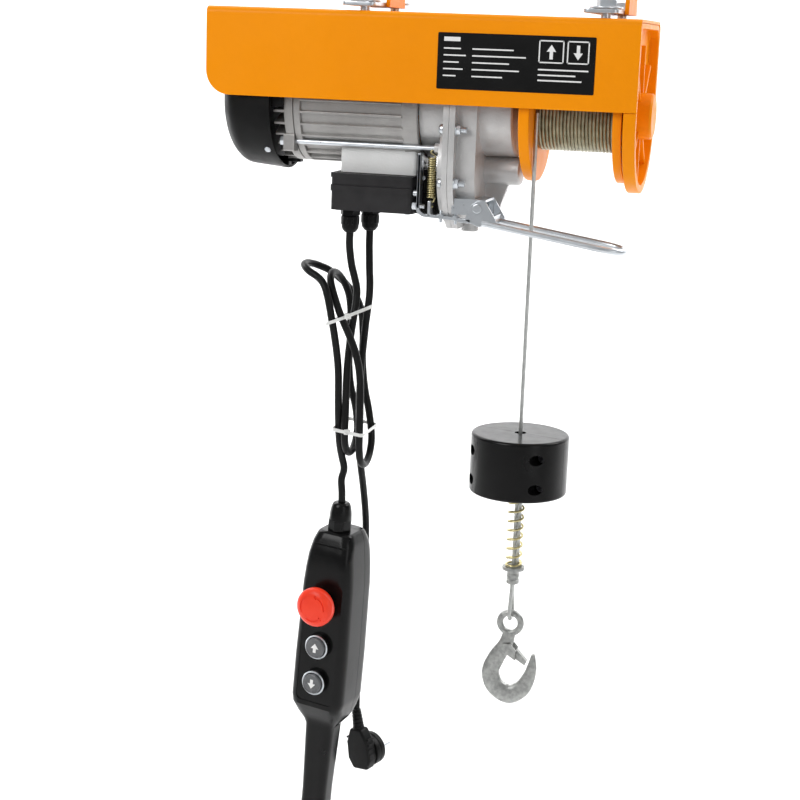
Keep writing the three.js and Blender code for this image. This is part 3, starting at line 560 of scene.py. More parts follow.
def hexagon(name, axis, radius, low, high, centre, dome="both"):
    """A hexagon head or nut, chamfered at its ends."""
    nut = turned(name, [(low, radius), (high, radius)], axis, centre, 6)
    c = radius * 0.13
    ends = {"both": (c, c), "high": (0, c), "low": (c, 0)}[dome]
    profile = [(low - 0.01, radius + 0.2 - 2 * ends[0]), (low + ends[0], radius + 0.2),
               (high - ends[1], radius + 0.2), (high + 0.01, radius + 0.2 - 2 * ends[1])]
    return combined(nut, turned("chamfer", profile, axis, centre, 48), "INTERSECT")


def threaded(name, axis, radius, low, high, centre, pitch=1.5):
    """A threaded rod, its thread drawn as close grooves."""
    turns = max(2, round((high - low) / pitch))
    step = (high - low) / turns
    profile = [(low, radius - 0.5 * pitch * 0.6)]
    for i in range(turns):
        profile += [(low + step * (i + 0.25), radius), (low + step * (i + 0.5), radius),
                    (low + step * (i + 0.95), radius - 0.55 * pitch * 0.6)]
    return turned(name, profile, axis, centre, 32)


def spiral(x, y, low, high, radius, turns, steps=30, flat=0.0):
    """Points on a coil about a vertical axis. Flat is the share of a turn that lies closed at each end."""
    points = []
    count = round(turns * steps)
    for i in range(count + 1):
        t = i / count
        along = min(max((t * turns - flat) / (turns - 2 * flat), 0), 1)
        angle = tau * turns * t
        points.append((x + radius * cos(angle), y + radius * sin(angle), low + (high - low) * along))
    return points


def stranded(name, points, radius, lay, sides=24, strands=6, depth=0.16):
    """A wire rope through points: a lobed section that turns once in each lay."""
    run, before, rings = 0.0, None, []
    for point, normal, side in carried_frames(points):
        run += (point - before).length if before else 0
        before = point
        ring = []
        for k in range(sides):
            angle = tau * k / sides
            lobe = abs(cos(strands / 2 * (angle - tau * run / lay)))
            r = radius * (1 - depth + depth * sqrt(lobe))
            ring.append(point + (normal * cos(angle) + side * sin(angle)) * r)
        rings.append(ring)
    return loft(name, rings)


def spaced(points, gap):
    """Points an equal distance apart on a line."""
    lengths = [0.0]
    for a, b in zip(points, points[1:]):
        lengths.append(lengths[-1] + (b - a).length)
    count = max(2, round(lengths[-1] / gap))
    result, j = [], 0
    for i in range(count + 1):
        target = lengths[-1] * i / count
        while j < len(points) - 2 and lengths[j + 1] < target:
            j += 1
        share = (target - lengths[j]) / max(lengths[j + 1] - lengths[j], 1e-9)
        result.append(points[j].lerp(points[j + 1], min(max(share, 0), 1)))
    return result, lengths[-1]


# ---------------------------------------------------------------- cords
def cord_curve(name, route, gap):
    """A cable as a curve of one open spline, and its length in metres."""
    points, length = spaced(smooth_line(route, 12), gap)
    data = bpy.data.curves.new(name, "CURVE")
    data.dimensions = "3D"
    data.bevel_depth = CABLE * MM
    data.bevel_resolution = 5
    data.resolution_u = 6
    data.use_fill_caps = True
    spline = data.splines.new("BEZIER")
    spline.bezier_points.add(len(points) - 1)
    for knot, point in zip(spline.bezier_points, points):
        knot.co = TO_ROW @ point
        knot.handle_left_type = knot.handle_right_type = "AUTO"
    obj = bpy.data.objects.new(name, data)
    bpy.context.scene.collection.objects.link(obj)
    data.materials.append(rubber)
    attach(obj, "hoist_frame")
    return obj, length * MM


def fold(start, end, z=-443.5, steps=6):
    """The U-turn at the foot of the hank, from its front run to its rear one."""
    (x0, y0), (x1, y1) = start, end
    radius = (y1 - y0) / 2
    return [(x0 + (x1 - x0) * i / steps, y0 + radius - radius * cos(pi * i / steps),
             z - radius * sin(pi * i / steps)) for i in range(steps + 1)]


def turn_back(centre, out, steps=8):
    """A loop's U-turn at the head of the hank, from its rear run round to its front one."""
    centre, out = Vector(centre), Vector(out).normalized()
    return [tuple(centre + (Vector((0, 1, 0)) * cos(pi * i / steps)
                            + out * sin(pi * i / steps)) * HANK_RADIUS) for i in range(steps + 1)]


HANK_RADIUS = 23.4
pendant_top = PENDANT_PLACE @ Vector((0, 0, 31.2))
gland_end = BOX["bottom"] - 25 - 0.3

CONTROL_ROUTE = [(-77, -20, gland_end), (-77, -20, -235), (-75, -17, -255), (-70, -12, -282.4),
                 (-70, -18, -303), (-71, -25, -325), (-72, -31.5, -360), (-72, -33.4, -405),
                 *fold((-72.2, -33.4), (-72.4, 13.4), -432), (-76, 13.4, -408), (-81, 13.4, -390),
                 (-84, 13.4, -362), (-83.5, 13.5, -330), (-84, 13.5, -304),
                 *turn_back((-87.6, -10, -286.5), (-0.4, 0, 0.92)), (-81, -36, -302), (-73, -37, -318),
                 (-64, -36.5, -338), (-57.8, -34.5, -364), (-56.3, -33.4, -405),
                 *fold((-56, -33.4), (-56.2, 13.4)), (-60, 13.4, -415), (-65.5, 13.4, -390),
                 (-69, 13.4, -360), (-70, 15, -330), (-76, 22, -304), (-88, 22.5, -286),
                 *turn_back((-106, -10, -268), (-0.9, 0, 0.44)), (-97, -39.5, -275), (-91.5, -42.5, -288),
                 (-88, -42, -305), (-84.5, -39.5, -326), (-80.8, -35.5, -360), (-80, -33, -405),
                 (-80.6, -25, -438), (-80, -18.5, -456), (-77, -16, -472), (-79, -18, -486),
                 tuple(pendant_top + Vector((0, 0, 8))), tuple(pendant_top), ]
POWER_ROUTE = [
    (-64, 8, gland_end), (-64, 8, -236), (-62, 5, -262), (-59, -2, -283), (-61, -7, -320), (-64, -9, -370),
    (-64.6, -8, -430), (-64.6, -2, -458), (-64, 2, -472), (-65, 20, -505), (-66, 36, -545), (-68, 44, -600),
    (-72, 44, -660), (-72, 42, -720), (-70.5, 38, -765.4),
]


def add_cords():
    control, control_length = cord_curve("control_cable", CONTROL_ROUTE, 12)
    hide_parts("control_cable_upper", "cable_hank", "control_cable_lower")
    TO_ROW @ Vector(CONTROL_ROUTE[0])
    power, power_length = cord_curve("power_cable", POWER_ROUTE, 14)
    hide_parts("power_cable_upper", "power_cable_lower")
    return power, power_length


# ---------------------------------------------------------------- frame, end cover and hangers
def channel_section(inset):
    w = FRAME["width"] - inset
    front, rear = FRAME["bend"] - inset, FRAME["rear_bend"] - inset
    return [(-w, -FRAME["height"]), *arc(-w + front, -inset - front, front, 180, 90, 8),
            *arc(w - rear, -inset - rear, rear, 90, 0, 8), (w, -FRAME["height"])]


def frame_channel():
    half, low, r = FRAME["half"], -FRAME["height"], FRAME["corner"]
    channel = extruded("frame", channel_section(0) + channel_section(FRAME["sheet"])[::-1], "X", -half,
                       half)
    corner = [(-half - 1, low + r), *arc(-half + r, low + r, r, 180, 270, 16), (-half + r, low - 1),
              (-half - 1, low - 1)]
    cut(channel, extruded("corner", corner, "Y", -80, 80))
    for x in HANGERS.values():
        for y in HANGER_BOLTS.values():
            cut(channel, rod("hole", "Z", 5.3, -30, 1, (x, y)))
    piece(channel, orange, ["frame_channel"], 0.6)


def end_cover():
    low = -FRAME["height"] - 0.3
    turn = angle_at(AXIS_Z, low, COVER["radius"])
    outer = rounded([(-71.7, low), (-71.7, -3.3), (62.7, -3.3), (71.7, -12.3), (71.7, low)],
                    [0, 6, 5, 5, 0])
    cover = extruded("cover", outer + arc(0, AXIS_Z, COVER["radius"], turn, -180 - turn, 72), "X",
                     COVER["left"], COVER["right"])
    inner = rounded([(-66.7, AXIS_Z), (-66.7, -8.3), (58.5, -8.3), (66.7, -16.5), (66.7, AXIS_Z)],
                    [0, 5, 4, 4, 0])
    inner = inner[:-1] + arc(0, AXIS_Z, 66.7, 0, -180, 60)[:-1]
    cut(cover, extruded("dish", inner, "X", COVER["web"], COVER["right"] + 1),
        extruded("back", inner, "X", COVER["left"] - 1, COVER["web"] - 3))
    softened(cover, 1.0, 3)
    parts = [cover]
    for angle in (90, 45, 135, 225, 270, 315):
        rib = block("rib", (COVER["web"] - 0.5, 211), (-2, 2), (COVER["boss"] - 3, COVER["radius"] - 7.5))
        softened(rib, 0.8, 3)
        parts.append(moved(rib, about_axis(angle - 90)))
    boss = turned("boss", [(COVER["web"] - 3, COVER["boss"]), (COVER["boss_end"] - 2, COVER["boss"] - 1),
                           (COVER["boss_end"], COVER["boss"] - 3)], "X", MAIN_AXIS, 64)
    cut(boss, rod("bore", "X", 10.3, 200, COVER["boss_end"] - 4, MAIN_AXIS))
    parts.append(softened(boss, 0.6))
    piece(together("end_cover_pressing", *parts), orange, ["end_cover"], 0)


def angle_at(axis_z, low, radius):
    """The angle, in degrees, at which a height cuts a circle on the axis."""
    return atan2(low - axis_z, sqrt(radius ** 2 - (low - axis_z) ** 2)) * 180 / pi


def hangers():
    for side, x in HANGERS.items():
        leg = x + 16
        upright = rounded([(-28, 4.5), (28, 4.5), (28, 94), (-28, 94)], [0, 0, 11, 11])
        strap = extruded("strap", upright, "X", leg - 2, leg + 2)
        foot = block(f"hanger_foot_{side}", (x - 20, leg - 2.3), (-68, 68), (4.5, 8.5), 6)
        flange = block("flange", (leg - 14, leg + 2), (-24, 24), (72, 76), 3)
        welded(strap, flange)
        window = rounded([(-22, 21), (22, 21), (22, 72), (-22, 72)], 3)
        cut(strap, extruded("window", window, "X", leg - 4, leg + 1.99 + 2))
        for y in HANGER_BOLTS.values():
            cut(foot, rod("hole", "Z", 5.3, 0, 20, (x, y)))
        piece(foot, zinc, (), 0.7)
        strap.name = f"hanger_strap_{side}"
        piece(strap, orange, [f"hanger_{side}"], 0.7)
        for place, y in HANGER_BOLTS.items():
            washer = turned("washer", [(8.8, 15.6), (9.1, 16), (10.4, 16), (10.8, 15.6)], "Z", (x, y), 64)
            nut = hexagon("nut", "Z", 9.4, 10.8, 17.6, (x, y), "high")
            low_nut = hexagon("low_nut", "Z", 9.4, -11.3, -3.3, (x, y), "low")
            stud = threaded("stud", "Z", 5, -20, -11.3, (x, y))
            shank = rod("shank", "Z", 4.95, -11.4, 10.9, (x, y))
            for part in (washer, nut, low_nut, shank):
                softened(part, 0.35)
            piece(together(f"hanger_bolt_{side}_{place}_shape", nut, washer, low_nut, stud, shank), zinc,
                  [f"hanger_bolt_{side}_{place}"], 0)


def label_plate():
    plate = extruded("rating_label", rounded([(22, -71), (174, -71), (174, -18), (22, -18)], 1.5), "Y",
                     LABEL_FACE, -75.0)
    piece(plate, label_black, (), 0.1)
    marks = []

    def bar(x0, x1, z0, z1):
        marks.append(extruded("mark", rounded([(x0, z0), (x1, z0), (x1, z1), (x0, z1)], 0.4, 3), "Y",
                              -75.5, -75.38))

    bar(28, 44, -26, -22)
    for i, width in enumerate((40, 52, 36, 46, 30)):
        z = -32 - 6.4 * i
        bar(28, 28 + width * 0.42, z - 1.3, z)
        bar(56, 56 + width, z - 1.3, z)
    for x0, x1 in ((120, 144), (147, 168)):
        bar(x0, x1, -23.2, -22)
        bar(x0, x1, -43.2, -42)
        bar(x0, x0 + 1.2, -43.2, -22)
        bar(x1 - 1.2, x1, -43.2, -22)
        middle = (x0 + x1) / 2
        arrow = [(middle, -26), (middle + 4.5, -32.5), (middle + 1.6, -32.5), (middle + 1.6, -39.5),
                 (middle - 1.6, -39.5), (middle - 1.6, -32.5), (middle - 4.5, -32.5)]
        if x0 > 130:
            arrow = [(px, -65.5 - pz) for px, pz in arrow]
        marks.append(extruded("arrow", arrow, "Y", -75.5, -75.38))
    bar(120, 168, -50, -48.6)
    bar(120, 156, -55, -53.6)
    bar(120, 162, -60, -58.6)
    piece(together("rating_label_marks", *marks), white_print, (), 0)


# ---------------------------------------------------------------- motor
def finned(radius, fin, count, half_width):
    """The outline of a round housing with straight fins, set evenly down each side from the top."""
    pitch = 360 / count
    middles = [radians(90 + side * (3 + pitch * i)) for side in (-1, 1) for i in range(count // 2)]
    middles = sorted(middles)
    outline = []
    for i, middle in enumerate(middles):
        root, tip = half_width * 1.25 / radius, half_width * 0.8 / (radius + fin)
        for angle, r in ((-root, radius), (-tip, radius + fin - 0.3), (-tip * 0.5, radius + fin),
                         (tip * 0.5, radius + fin), (tip, radius + fin - 0.3), (root, radius)):
            outline.append((r * cos(middle + angle), AXIS_Z + r * sin(middle + angle)))
        space = (middles[(i + 1) % count] - middle) % tau
        for k in (1, 2):
            between = middle + root + (space - 2 * root) * k / 3
            outline.append((radius * cos(between), AXIS_Z + radius * sin(between)))
    return outline


def motor_housing():
    housing = extruded("motor", finned(MOTOR["radius"], MOTOR["fin"], MOTOR["fins"], 1.3), "X",
                       MOTOR["left"] + 7, MOTOR["right"] - 15)
    ring = turned("ring", [(MOTOR["left"], 59), (MOTOR["left"] + 0.8, 60), (MOTOR["left"] + 7, 60),
                           (MOTOR["left"] + 8, 58)], "X", MAIN_AXIS, FINE)
    smooth_end = turned("smooth_end", [(-17, 58), (-16, 58.5), (-1.6, 57.6), (-1, 57)], "X", MAIN_AXIS,
                        FINE)
    welded(housing, ring, smooth_end)
    cut(housing, rod("bore", "X", 52, MOTOR["left"] - 1, 0, MAIN_AXIS, 96))
    housing.name = "motor_casting"
    piece(housing, shaded_motor_aluminium, ["motor_housing"], 0.35)
    seat = block("motor_box_seat", (-84, -4), (-38, 34), (BOX["top"] + 0.3, AXIS_Z - 30), 5)
    cut(seat, rod("bore", "X", 55, MOTOR["left"] - 1, 0, MAIN_AXIS, 96))
    piece(seat, pale_aluminium, (), 0.6)


def end_bell():
    right = MOTOR["left"] - 0.3
    section = [(-146, 6.3), (-146, 20), (-145, 22), (-140, 25), (-139, 57), (-137.5, 60), (right, 60),
               (right, 52), (-134, 48), (-134, 6.3), (-146, 6.3)]
    bell = turned("bell", section, "X", MAIN_AXIS, FINE)
    parts = [softened(bell, 0.5)]
    for i in range(30):
        angle = (3 + 12 * (i // 2)) * (-1) ** i
        fin = block("fin", (-149, -137), (-1.3, 1.3), (26, 59.6), 0)
        softened(fin, 0.5)
        parts.append(moved(fin, about_axis(angle)))
    for y in (-TIE_ROD["y"], TIE_ROD["y"]):
        lug = block("lug", (-140, right), (y - 7, y + 7), (TIE_ROD["z"] - 10, TIE_ROD["z"] + 8), 2.5, "X")
        cut(lug, rod("hole", "X", 2.8, -150, -120, (y, TIE_ROD["z"])),
            rod("inside", "X", 50, -134, -120, MAIN_AXIS))
        parts.append(softened(lug, 0.6))
    piece(together("end_bell_casting", *parts), shaded_motor_aluminium, ["rear_end_bell"], 0)


def fan_cover():
    def dome(inset):
        nose = 24
        left = FAN["left"] + inset
        points = [(left, 0.5), (left, nose)]
        for i in range(1, 15):
            a = pi / 2 * i / 14
            points.append((FAN["wall"] - (FAN["wall"] - left) * cos(a),
                           nose + (FAN["wall_radius"] - inset - nose) * sin(a)))
        return points

    rim = FAN["rim"]
    section = [*dome(0), (rim - 5, FAN["radius"] - 0.4), (rim - 4, FAN["radius"]), (rim, FAN["radius"]),
               (rim, FAN["radius"] - 2.4), *dome(2.2)[::-1]]
    shell = turned("fan_shell", section, "X", MAIN_AXIS, FINE)
    for i in range(-3, 4):
        z = AXIS_Z + 7 * i
        half = 30 - 2.2 * abs(i)
        slot = rounded([(-half, z - 1.5), (half, z - 1.5), (half, z + 1.5), (-half, z + 1.5)], 1.4)
        cut(shell, extruded("slot", slot, "X", FAN["left"] - 2, FAN["left"] + 12))
    softened(shell, 0.5)
    parts = [shell]
    for angle in (0, 90, 180, 270):
        tongue = block("tongue", (-158, -137.4), (-5, 5), (60.4, 63), 1)
        post = block("post", (-158, rim), (-5, 5), (60.4, FAN["radius"] - 1.5), 1)
        turn = about_axis(angle)
        parts += [moved(softened(tongue, 0.4), turn), moved(softened(post, 0.4), turn)]
    piece(together("fan_cowl", *parts), black, ["fan_cover"], 0)
    for i, angle in enumerate((45, 135, 225, 315)):
        head = turned("screw", [(FAN["radius"] - 2.6, 3.4), (FAN["radius"] - 0.4, 3.4),
                                (FAN["radius"] + 0.5, 2.8), (FAN["radius"] + 0.9, 1.4)], "Z",
                      (rim - 7.5, 0), 24)
        cut(head, block("driver", (rim - 10, rim - 5), (-0.4, 0.4),
                        (FAN["radius"] + 0.2, FAN["radius"] + 2)),
            block("driver", (rim - 7.9, rim - 7.1), (-2.4, 2.4), (FAN["radius"] + 0.2, FAN["radius"] + 2)))
        moved(head, about_axis(angle))
        head.name = f"fan_cover_screw_{i + 1}"
        piece(head, zinc, (), 0.15)


def tie_rods():
    for side, y in (("front", -TIE_ROD["y"]), ("rear", TIE_ROD["y"])):
        shank = rod("shank", "X", 2.5, -140.4, 18, (y, TIE_ROD["z"]))
        thread = threaded("thread", "X", 2.5, 18, 24, (y, TIE_ROD["z"]), 0.9)
        head = hexagon("head", "X", 5, -145, -140.3, (y, TIE_ROD["z"]), "low")
        piece(together(f"tie_rod_{side}_shape", softened(shank, 0.2), thread, softened(head, 0.2)), zinc,
              [f"tie_rod_{side}"], 0)


# ---------------------------------------------------------------- gearbox and drum
def two_circles(top, low, steps=36):
    """The outline around two circles, on the main axis and on the intermediate shaft."""
    lean = arcsine((top - low) / (AXIS_Z - SHAFT_Z))
    upper = arc(0, AXIS_Z, top, -lean, 180 + lean, steps)
    return upper + arc(0, SHAFT_Z, low, 180 + lean, 360 - lean, steps)


def arcsine(value):
    return atan2(value, sqrt(1 - value * value)) * 180 / pi


def gearbox_flange(low, high):
    plate = extruded("flange", two_circles(67, 67), "X", low, high)
    return combined(plate, block("trim", (low - 1, high + 1), (-80, 80), (-209, 0)), "INTERSECT")


def bolt_holes(obj):
    for z in FLANGE_BOLT_HEIGHTS.values():
        for y in FLANGE_BOLTS.values():
            cut(obj, rod("hole", "X", 3.3, 20, 50, (y, z)))
    return obj


def gearbox():
    cover = turned("cover", [(-0.7, 50), (20, 50), (28, 54), (33.7, 54)], "X", MAIN_AXIS, FINE)
    welded(cover, gearbox_flange(28, 33.7), extruded("shoulder", two_circles(20, 56), "X", 21, 29))
    cut(cover, rod("spigot", "X", 46, -2, 12, MAIN_AXIS, 96),
        rod("wheel", "X", 54, 23.5, 40, SHAFT_AXIS, 96), rod("shaft", "X", 11, 0, 40, MAIN_AXIS))
    for y in (-TIE_ROD["y"], TIE_ROD["y"]):
        welded(cover, rod("boss", "X", 5.2, 16, 23.4, (y, TIE_ROD["z"])))
        cut(cover, rod("hole", "X", 2.8, 10, 26, (y, TIE_ROD["z"])))
    bolt_holes(cover)
    cover.name = "gearbox_cover_casting"
    piece(cover, aluminium, ["gearbox_cover"], 0.6)

    housing = gearbox_flange(34, 40)
    body = extruded("body", two_circles(56, 55.5), "X", 34, 59)
    neck = turned("neck", [(50, 47), (90, 46), (92, 44.5)], "X", MAIN_AXIS, FINE)
    boss = turned("boss", [(50, 15.5), (93.5, 14), (95, 12.5)], "X", SHAFT_AXIS, 64)
    rib = extruded("rib", [(50, -160), (84, -160), (72, -196), (60, -206), (50, -206)], "Y", -4, 4)
    spigot = turned("spigot", [(-214, 8), (-213, 9), (-190, 9)], "Z", (44, 0), 40)
    welded(housing, body, neck, boss, rib, spigot)
    cut(housing, extruded("inside", two_circles(53, 52.5), "X", 33, 56),
        rod("bore", "X", 38, 55, 78, MAIN_AXIS, 96), rod("seat", "X", 24, 77, 85, MAIN_AXIS, 64),
        rod("shaft", "X", 10.3, 80, 100, MAIN_AXIS), rod("pin", "X", 8.3, 55, 88, SHAFT_AXIS))
    bolt_holes(housing)
    housing.name = "gearbox_casting"
    piece(housing, aluminium, ["gearbox_housing"], 0.7)


def flange_bolts():
    for side, y in FLANGE_BOLTS.items():
        for height, z in FLANGE_BOLT_HEIGHTS.items():
            dome = turned("dome", [(22.9, 2.0), (23.3, 3.6), (24.4, 4.8), (26.4, 5.3), (27.7, 5.3)], "X",
                          (y, z), 40)
            nut = hexagon("nut", "X", 4.8, 40.3, 45, (y, z), "high")
            washer = turned("washer", [(40.2, 5.6), (41, 5.6)], "X", (y, z), 40)
            shank = rod("shank", "X", 3, 25, 45, (y, z), 32)
            thread = threaded("thread", "X", 3, 45, 51, (y, z), 1)
            parts = [dome, softened(nut, 0.25), washer, shank, thread]
            replaced = [f"flange_bolt_{height}"] if side == "front" else []
            piece(together(f"flange_bolt_{side}_{height}", *parts), zinc, replaced, 0)


def drum():
    left, right = DRUM["left"], DRUM["right"]
    inner, outer = left + DRUM["left_flange"], right - DRUM["right_flange"]
    r, s, core = DRUM["left_radius"], DRUM["right_radius"], DRUM["core"]
    section = [(left, 10.3), (left, 22), (left + 2.5, 26), (left + 2.5, 58), (left, 62), (left, r - 2),
               (left + 0.6, r - 0.6), (left + 2, r), (inner - 2, r), (inner - 0.6, r - 0.6),
               (inner, r - 2), (inner, core + 1), (inner + 1, core), (outer - 1, core), (outer, core + 1),
               (outer, s - 0.6), (outer + 0.6, s), (right - 0.6, s), (right, s - 0.6), (right, 62),
               (right - 2.5, 58), (right - 2.5, 26), (right, 22), (right, 10.3), (left, 10.3)]
    piece(turned("drum_casting", section, "X", MAIN_AXIS, FINE), orange, ["rope_drum"], 0, body="drum")


def winding():
    low, high = DRUM["left"] + DRUM["left_flange"] + 0.3, DRUM["right"] - DRUM["right_flange"] - 0.3
    inner, radius = DRUM["core"] + 0.3, ROPE["radius"]
    sleeve = turned("layers", [(low, inner), (low, DRUM["rope"] - 2.4), (high, DRUM["rope"] - 2.4),
                               (high, inner), (low, inner)], "X", MAIN_AXIS, FINE)
    turns = 21
    travel = high - low - 2 * radius
    points = [(low + radius + travel * i / (turns * 60), (DRUM["rope"] - radius) * cos(-tau * i / 60),
               AXIS_Z + (DRUM["rope"] - radius) * sin(-tau * i / 60)) for i in range(turns * 60 + 1)]
    coil = stranded("coil", points, radius, 27, 18)
    piece(together("rope_on_drum", sleeve, coil), oiled_rope, ["rope_winding"], 0, angle=60, body="drum")


# ---------------------------------------------------------------- rope, limit block and hook
def hanging_rope():
    foot = -550.1
    points = [(ROPE["x"], ROPE["y"], AXIS_Z + (foot - AXIS_Z) * i / 300) for i in range(301)]
    rope = stranded("hanging_rope_strands", points, ROPE["radius"], 27)
    piece(rope, rope_metal, ["hanging_rope"], 0, angle=60)
    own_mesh(rope)


def limit_block():
    r, top, low = BLOCK["radius"], BLOCK["top"], BLOCK["low"]
    edge = [(3 * sin(a), 3 - 3 * cos(a)) for a in (pi / 2 * i / 6 for i in range(7))]
    section = [(low + q, r - 3 + p) for p, q in edge] + [(top - q, r - 3 + p) for p, q in edge[::-1]]
    for side, sign in (("front", -1), ("rear", 1)):
        half = turned("half", section, "Z", (0, 0), 128)
        cut(half, turned("bore", [(low - 1, BLOCK["bore"]), (top + 1, BLOCK["bore"])], "Z", (0, 0), 48))
        near, far = sorted((sign * 0.15, sign * (r + 2)))
        combined(half, block("side", (-60, 60), (near, far), (low - 5, top + 5)), "INTERSECT")
        near, far = sorted((sign * (r - 31), sign * (r + 10)))
        for x, z in BLOCK_SCREWS:
            cut(half, rod("recess", "Y", 5.3, near, far, (x, z), 40))
        half.name = f"limit_block_{side}_shape"
        moved(half, BLOCK_PLACE)
        piece(half, gloss_black, [f"limit_block_{side}"], 0.7, 3, body="limit_block")


BLOCK_SCREWS = [(x, z) for z in (BLOCK["top"] - 17, BLOCK["low"] + 14) for x in (-36, 36)]


def block_screws():
    """The socket screws that hold the block's halves together, heads in front and nuts behind."""
    depth = BLOCK["radius"] - 31
    for i, (x, z) in enumerate(BLOCK_SCREWS):
        head = turned("head", [(-depth - 4.2, 3.8), (-depth - 3.4, 4.2), (-depth, 4.2)], "Y", (x, z), 32)
        cut(head, turned("socket", [(-depth - 5, 2.3), (-depth - 1.8, 2.3)], "Y", (x, z), 6))
        nut = hexagon("nut", "Y", 4.4, depth, depth + 3.6, (x, z), "high")
        screw = together(f"block_screw_{i + 1}", softened(head, 0.2), softened(nut, 0.2))
        piece(moved(screw, BLOCK_PLACE), dark_steel, (), 0, body="limit_block")


def buffer_spring():
    points = spiral(ROPE["x"], ROPE["y"], -548.8, -472.3, 7.5, 9.5, 36, 0.8)
    spring = sweep("buffer_coil", points, 1.2, 12)
    piece(spring, yellow_zinc, ["buffer_spring"], 0, body="hook_line")
    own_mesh(spring)


def rope_tail():
    """The rope's end, which comes back up out of the ferrule beside the rope."""
    x = ROPE["x"] + 3.85
    tail = stranded("rope_tail", [(x, ROPE["y"], -553 + 1.5 * i) for i in range(51)], 1.8, 27)
    piece(tail, rope_metal, (), 0, angle=60, body="hook_line")


def ferrule():
    section = [(-569, 2.4), (-569, 5.8), (-568.4, 6.5), (-564.5, 6.5), (-564, 6.0), (-562, 6.0),
               (-561.5, 6.5), (-558.6, 6.5), (-558.1, 6.0), (-556.2, 6.0), (-555.7, 6.5), (-554, 6.5),
               (-554, 11.2), (-553.7, 11.5), (-550.9, 11.5), (-550.5, 11.2), (-550.5, 2.3), (-554, 2.3),
               (-569, 2.4)]
    body = turned("ferrule_shape", section, "Z", (ROPE["x"], ROPE["y"]), 64)
    core = stranded("core", [(ROPE["x"], ROPE["y"], -568.8 + i) for i in range(20)], 2.2, 27)
    piece(together("ferrule_shape", body, core), forged, ["rope_ferrule"], 0, body="hook_line")


def rope_eye():
    foot, low, r = -569.3, HOOK_EYE_Z + 4.6, 10
    points = [(ROPE["y"] - 2.4, foot), (ROPE["y"] - 2.8, foot - 5.7)]
    points += [(ROPE["y"] + r * cos(a), low + r + r * sin(a))
               for a in (pi * (1.12 + 0.76 * i / 10) for i in range(11))]
    points += [(ROPE["y"] + 2.8, foot - 5.7), (ROPE["y"] + 2.4, foot)]
    line, _ = spaced(smooth_line([(ROPE["x"], y, z) for y, z in points], 12), 1.2)
    piece(stranded("rope_eye_strands", line, ROPE["radius"], 27), rope_metal, ["rope_eye"], 0, angle=60,
          body="hook_line")


def forged_hook():
    x, y, z = ROPE["x"], ROPE["y"], HOOK_EYE_Z
    line = [(0, -10), (-4, -24), (-13, -40), (-18.3, -56), (-13, -71), (1.5, -78.5), (15, -71), (22, -58),
            (25, -46), (25.8, -33)]
    widths = [6.5, 7.5, 8.8, 9.2, 9.8, 10.2, 8.8, 7, 5.2, 2.2]
    depths = [4.2, 4.8, 5.2, 5.5, 5.5, 5.5, 5.3, 4.8, 4.2, 3.0]
    curve = smooth_line([(x + px, y, z + pz) for px, pz in line], 8)
    rings = []
    for i, point in enumerate(curve):
        t = i / (len(curve) - 1) * (len(widths) - 1)
        j = min(int(t), len(widths) - 2)
        w = widths[j] + (widths[j + 1] - widths[j]) * (t - j)
        d = depths[j] + (depths[j + 1] - depths[j]) * (t - j)
        along = (curve[min(i + 1, len(curve) - 1)] - curve[max(i - 1, 0)]).normalized()
        across = Vector((-along.z, 0, along.x))
        turns = [tau * k / 28 for k in range(28)]
        rings.append([point + across * (w * squarish(cos(a))) + Vector((0, d * squarish(sin(a)), 0))
                      for a in turns])
    tip, along = rings[-1], (curve[-1] - curve[-2]).normalized()
    centre = curve[-1]
    for push, shrink in ((0.9, 0.85), (1.6, 0.55), (1.9, 0.2)):
        rings.append([centre + (p - centre) * shrink + along * push for p in tip])
    hook = fixed(loft("hook_body", rings))
    ring = turned("ring", [(y + 3.5 * sin(a), 10.9 + 3.4 * cos(a))
                           for a in (tau * i / 24 for i in range(25))], "Y", (x, z), 64)
    welded(hook, ring)
    cut(hook, rod("hole", "Y", 7.4, y - 20, y + 20, (x, z), 64),
        rod("pivot", "Y", 1.8, y - 20, y + 20, (x - 2, z - 26), 24))
    hook.name = "hook_forging"
    piece(hook, forged, ["hook"], 0.5, 2, 45, body="load_hook")


def squarish(value):
    """Flattens a circle's sides a little, as a forging's are."""
    return abs(value) ** 0.8 * (1 if value >= 0 else -1)


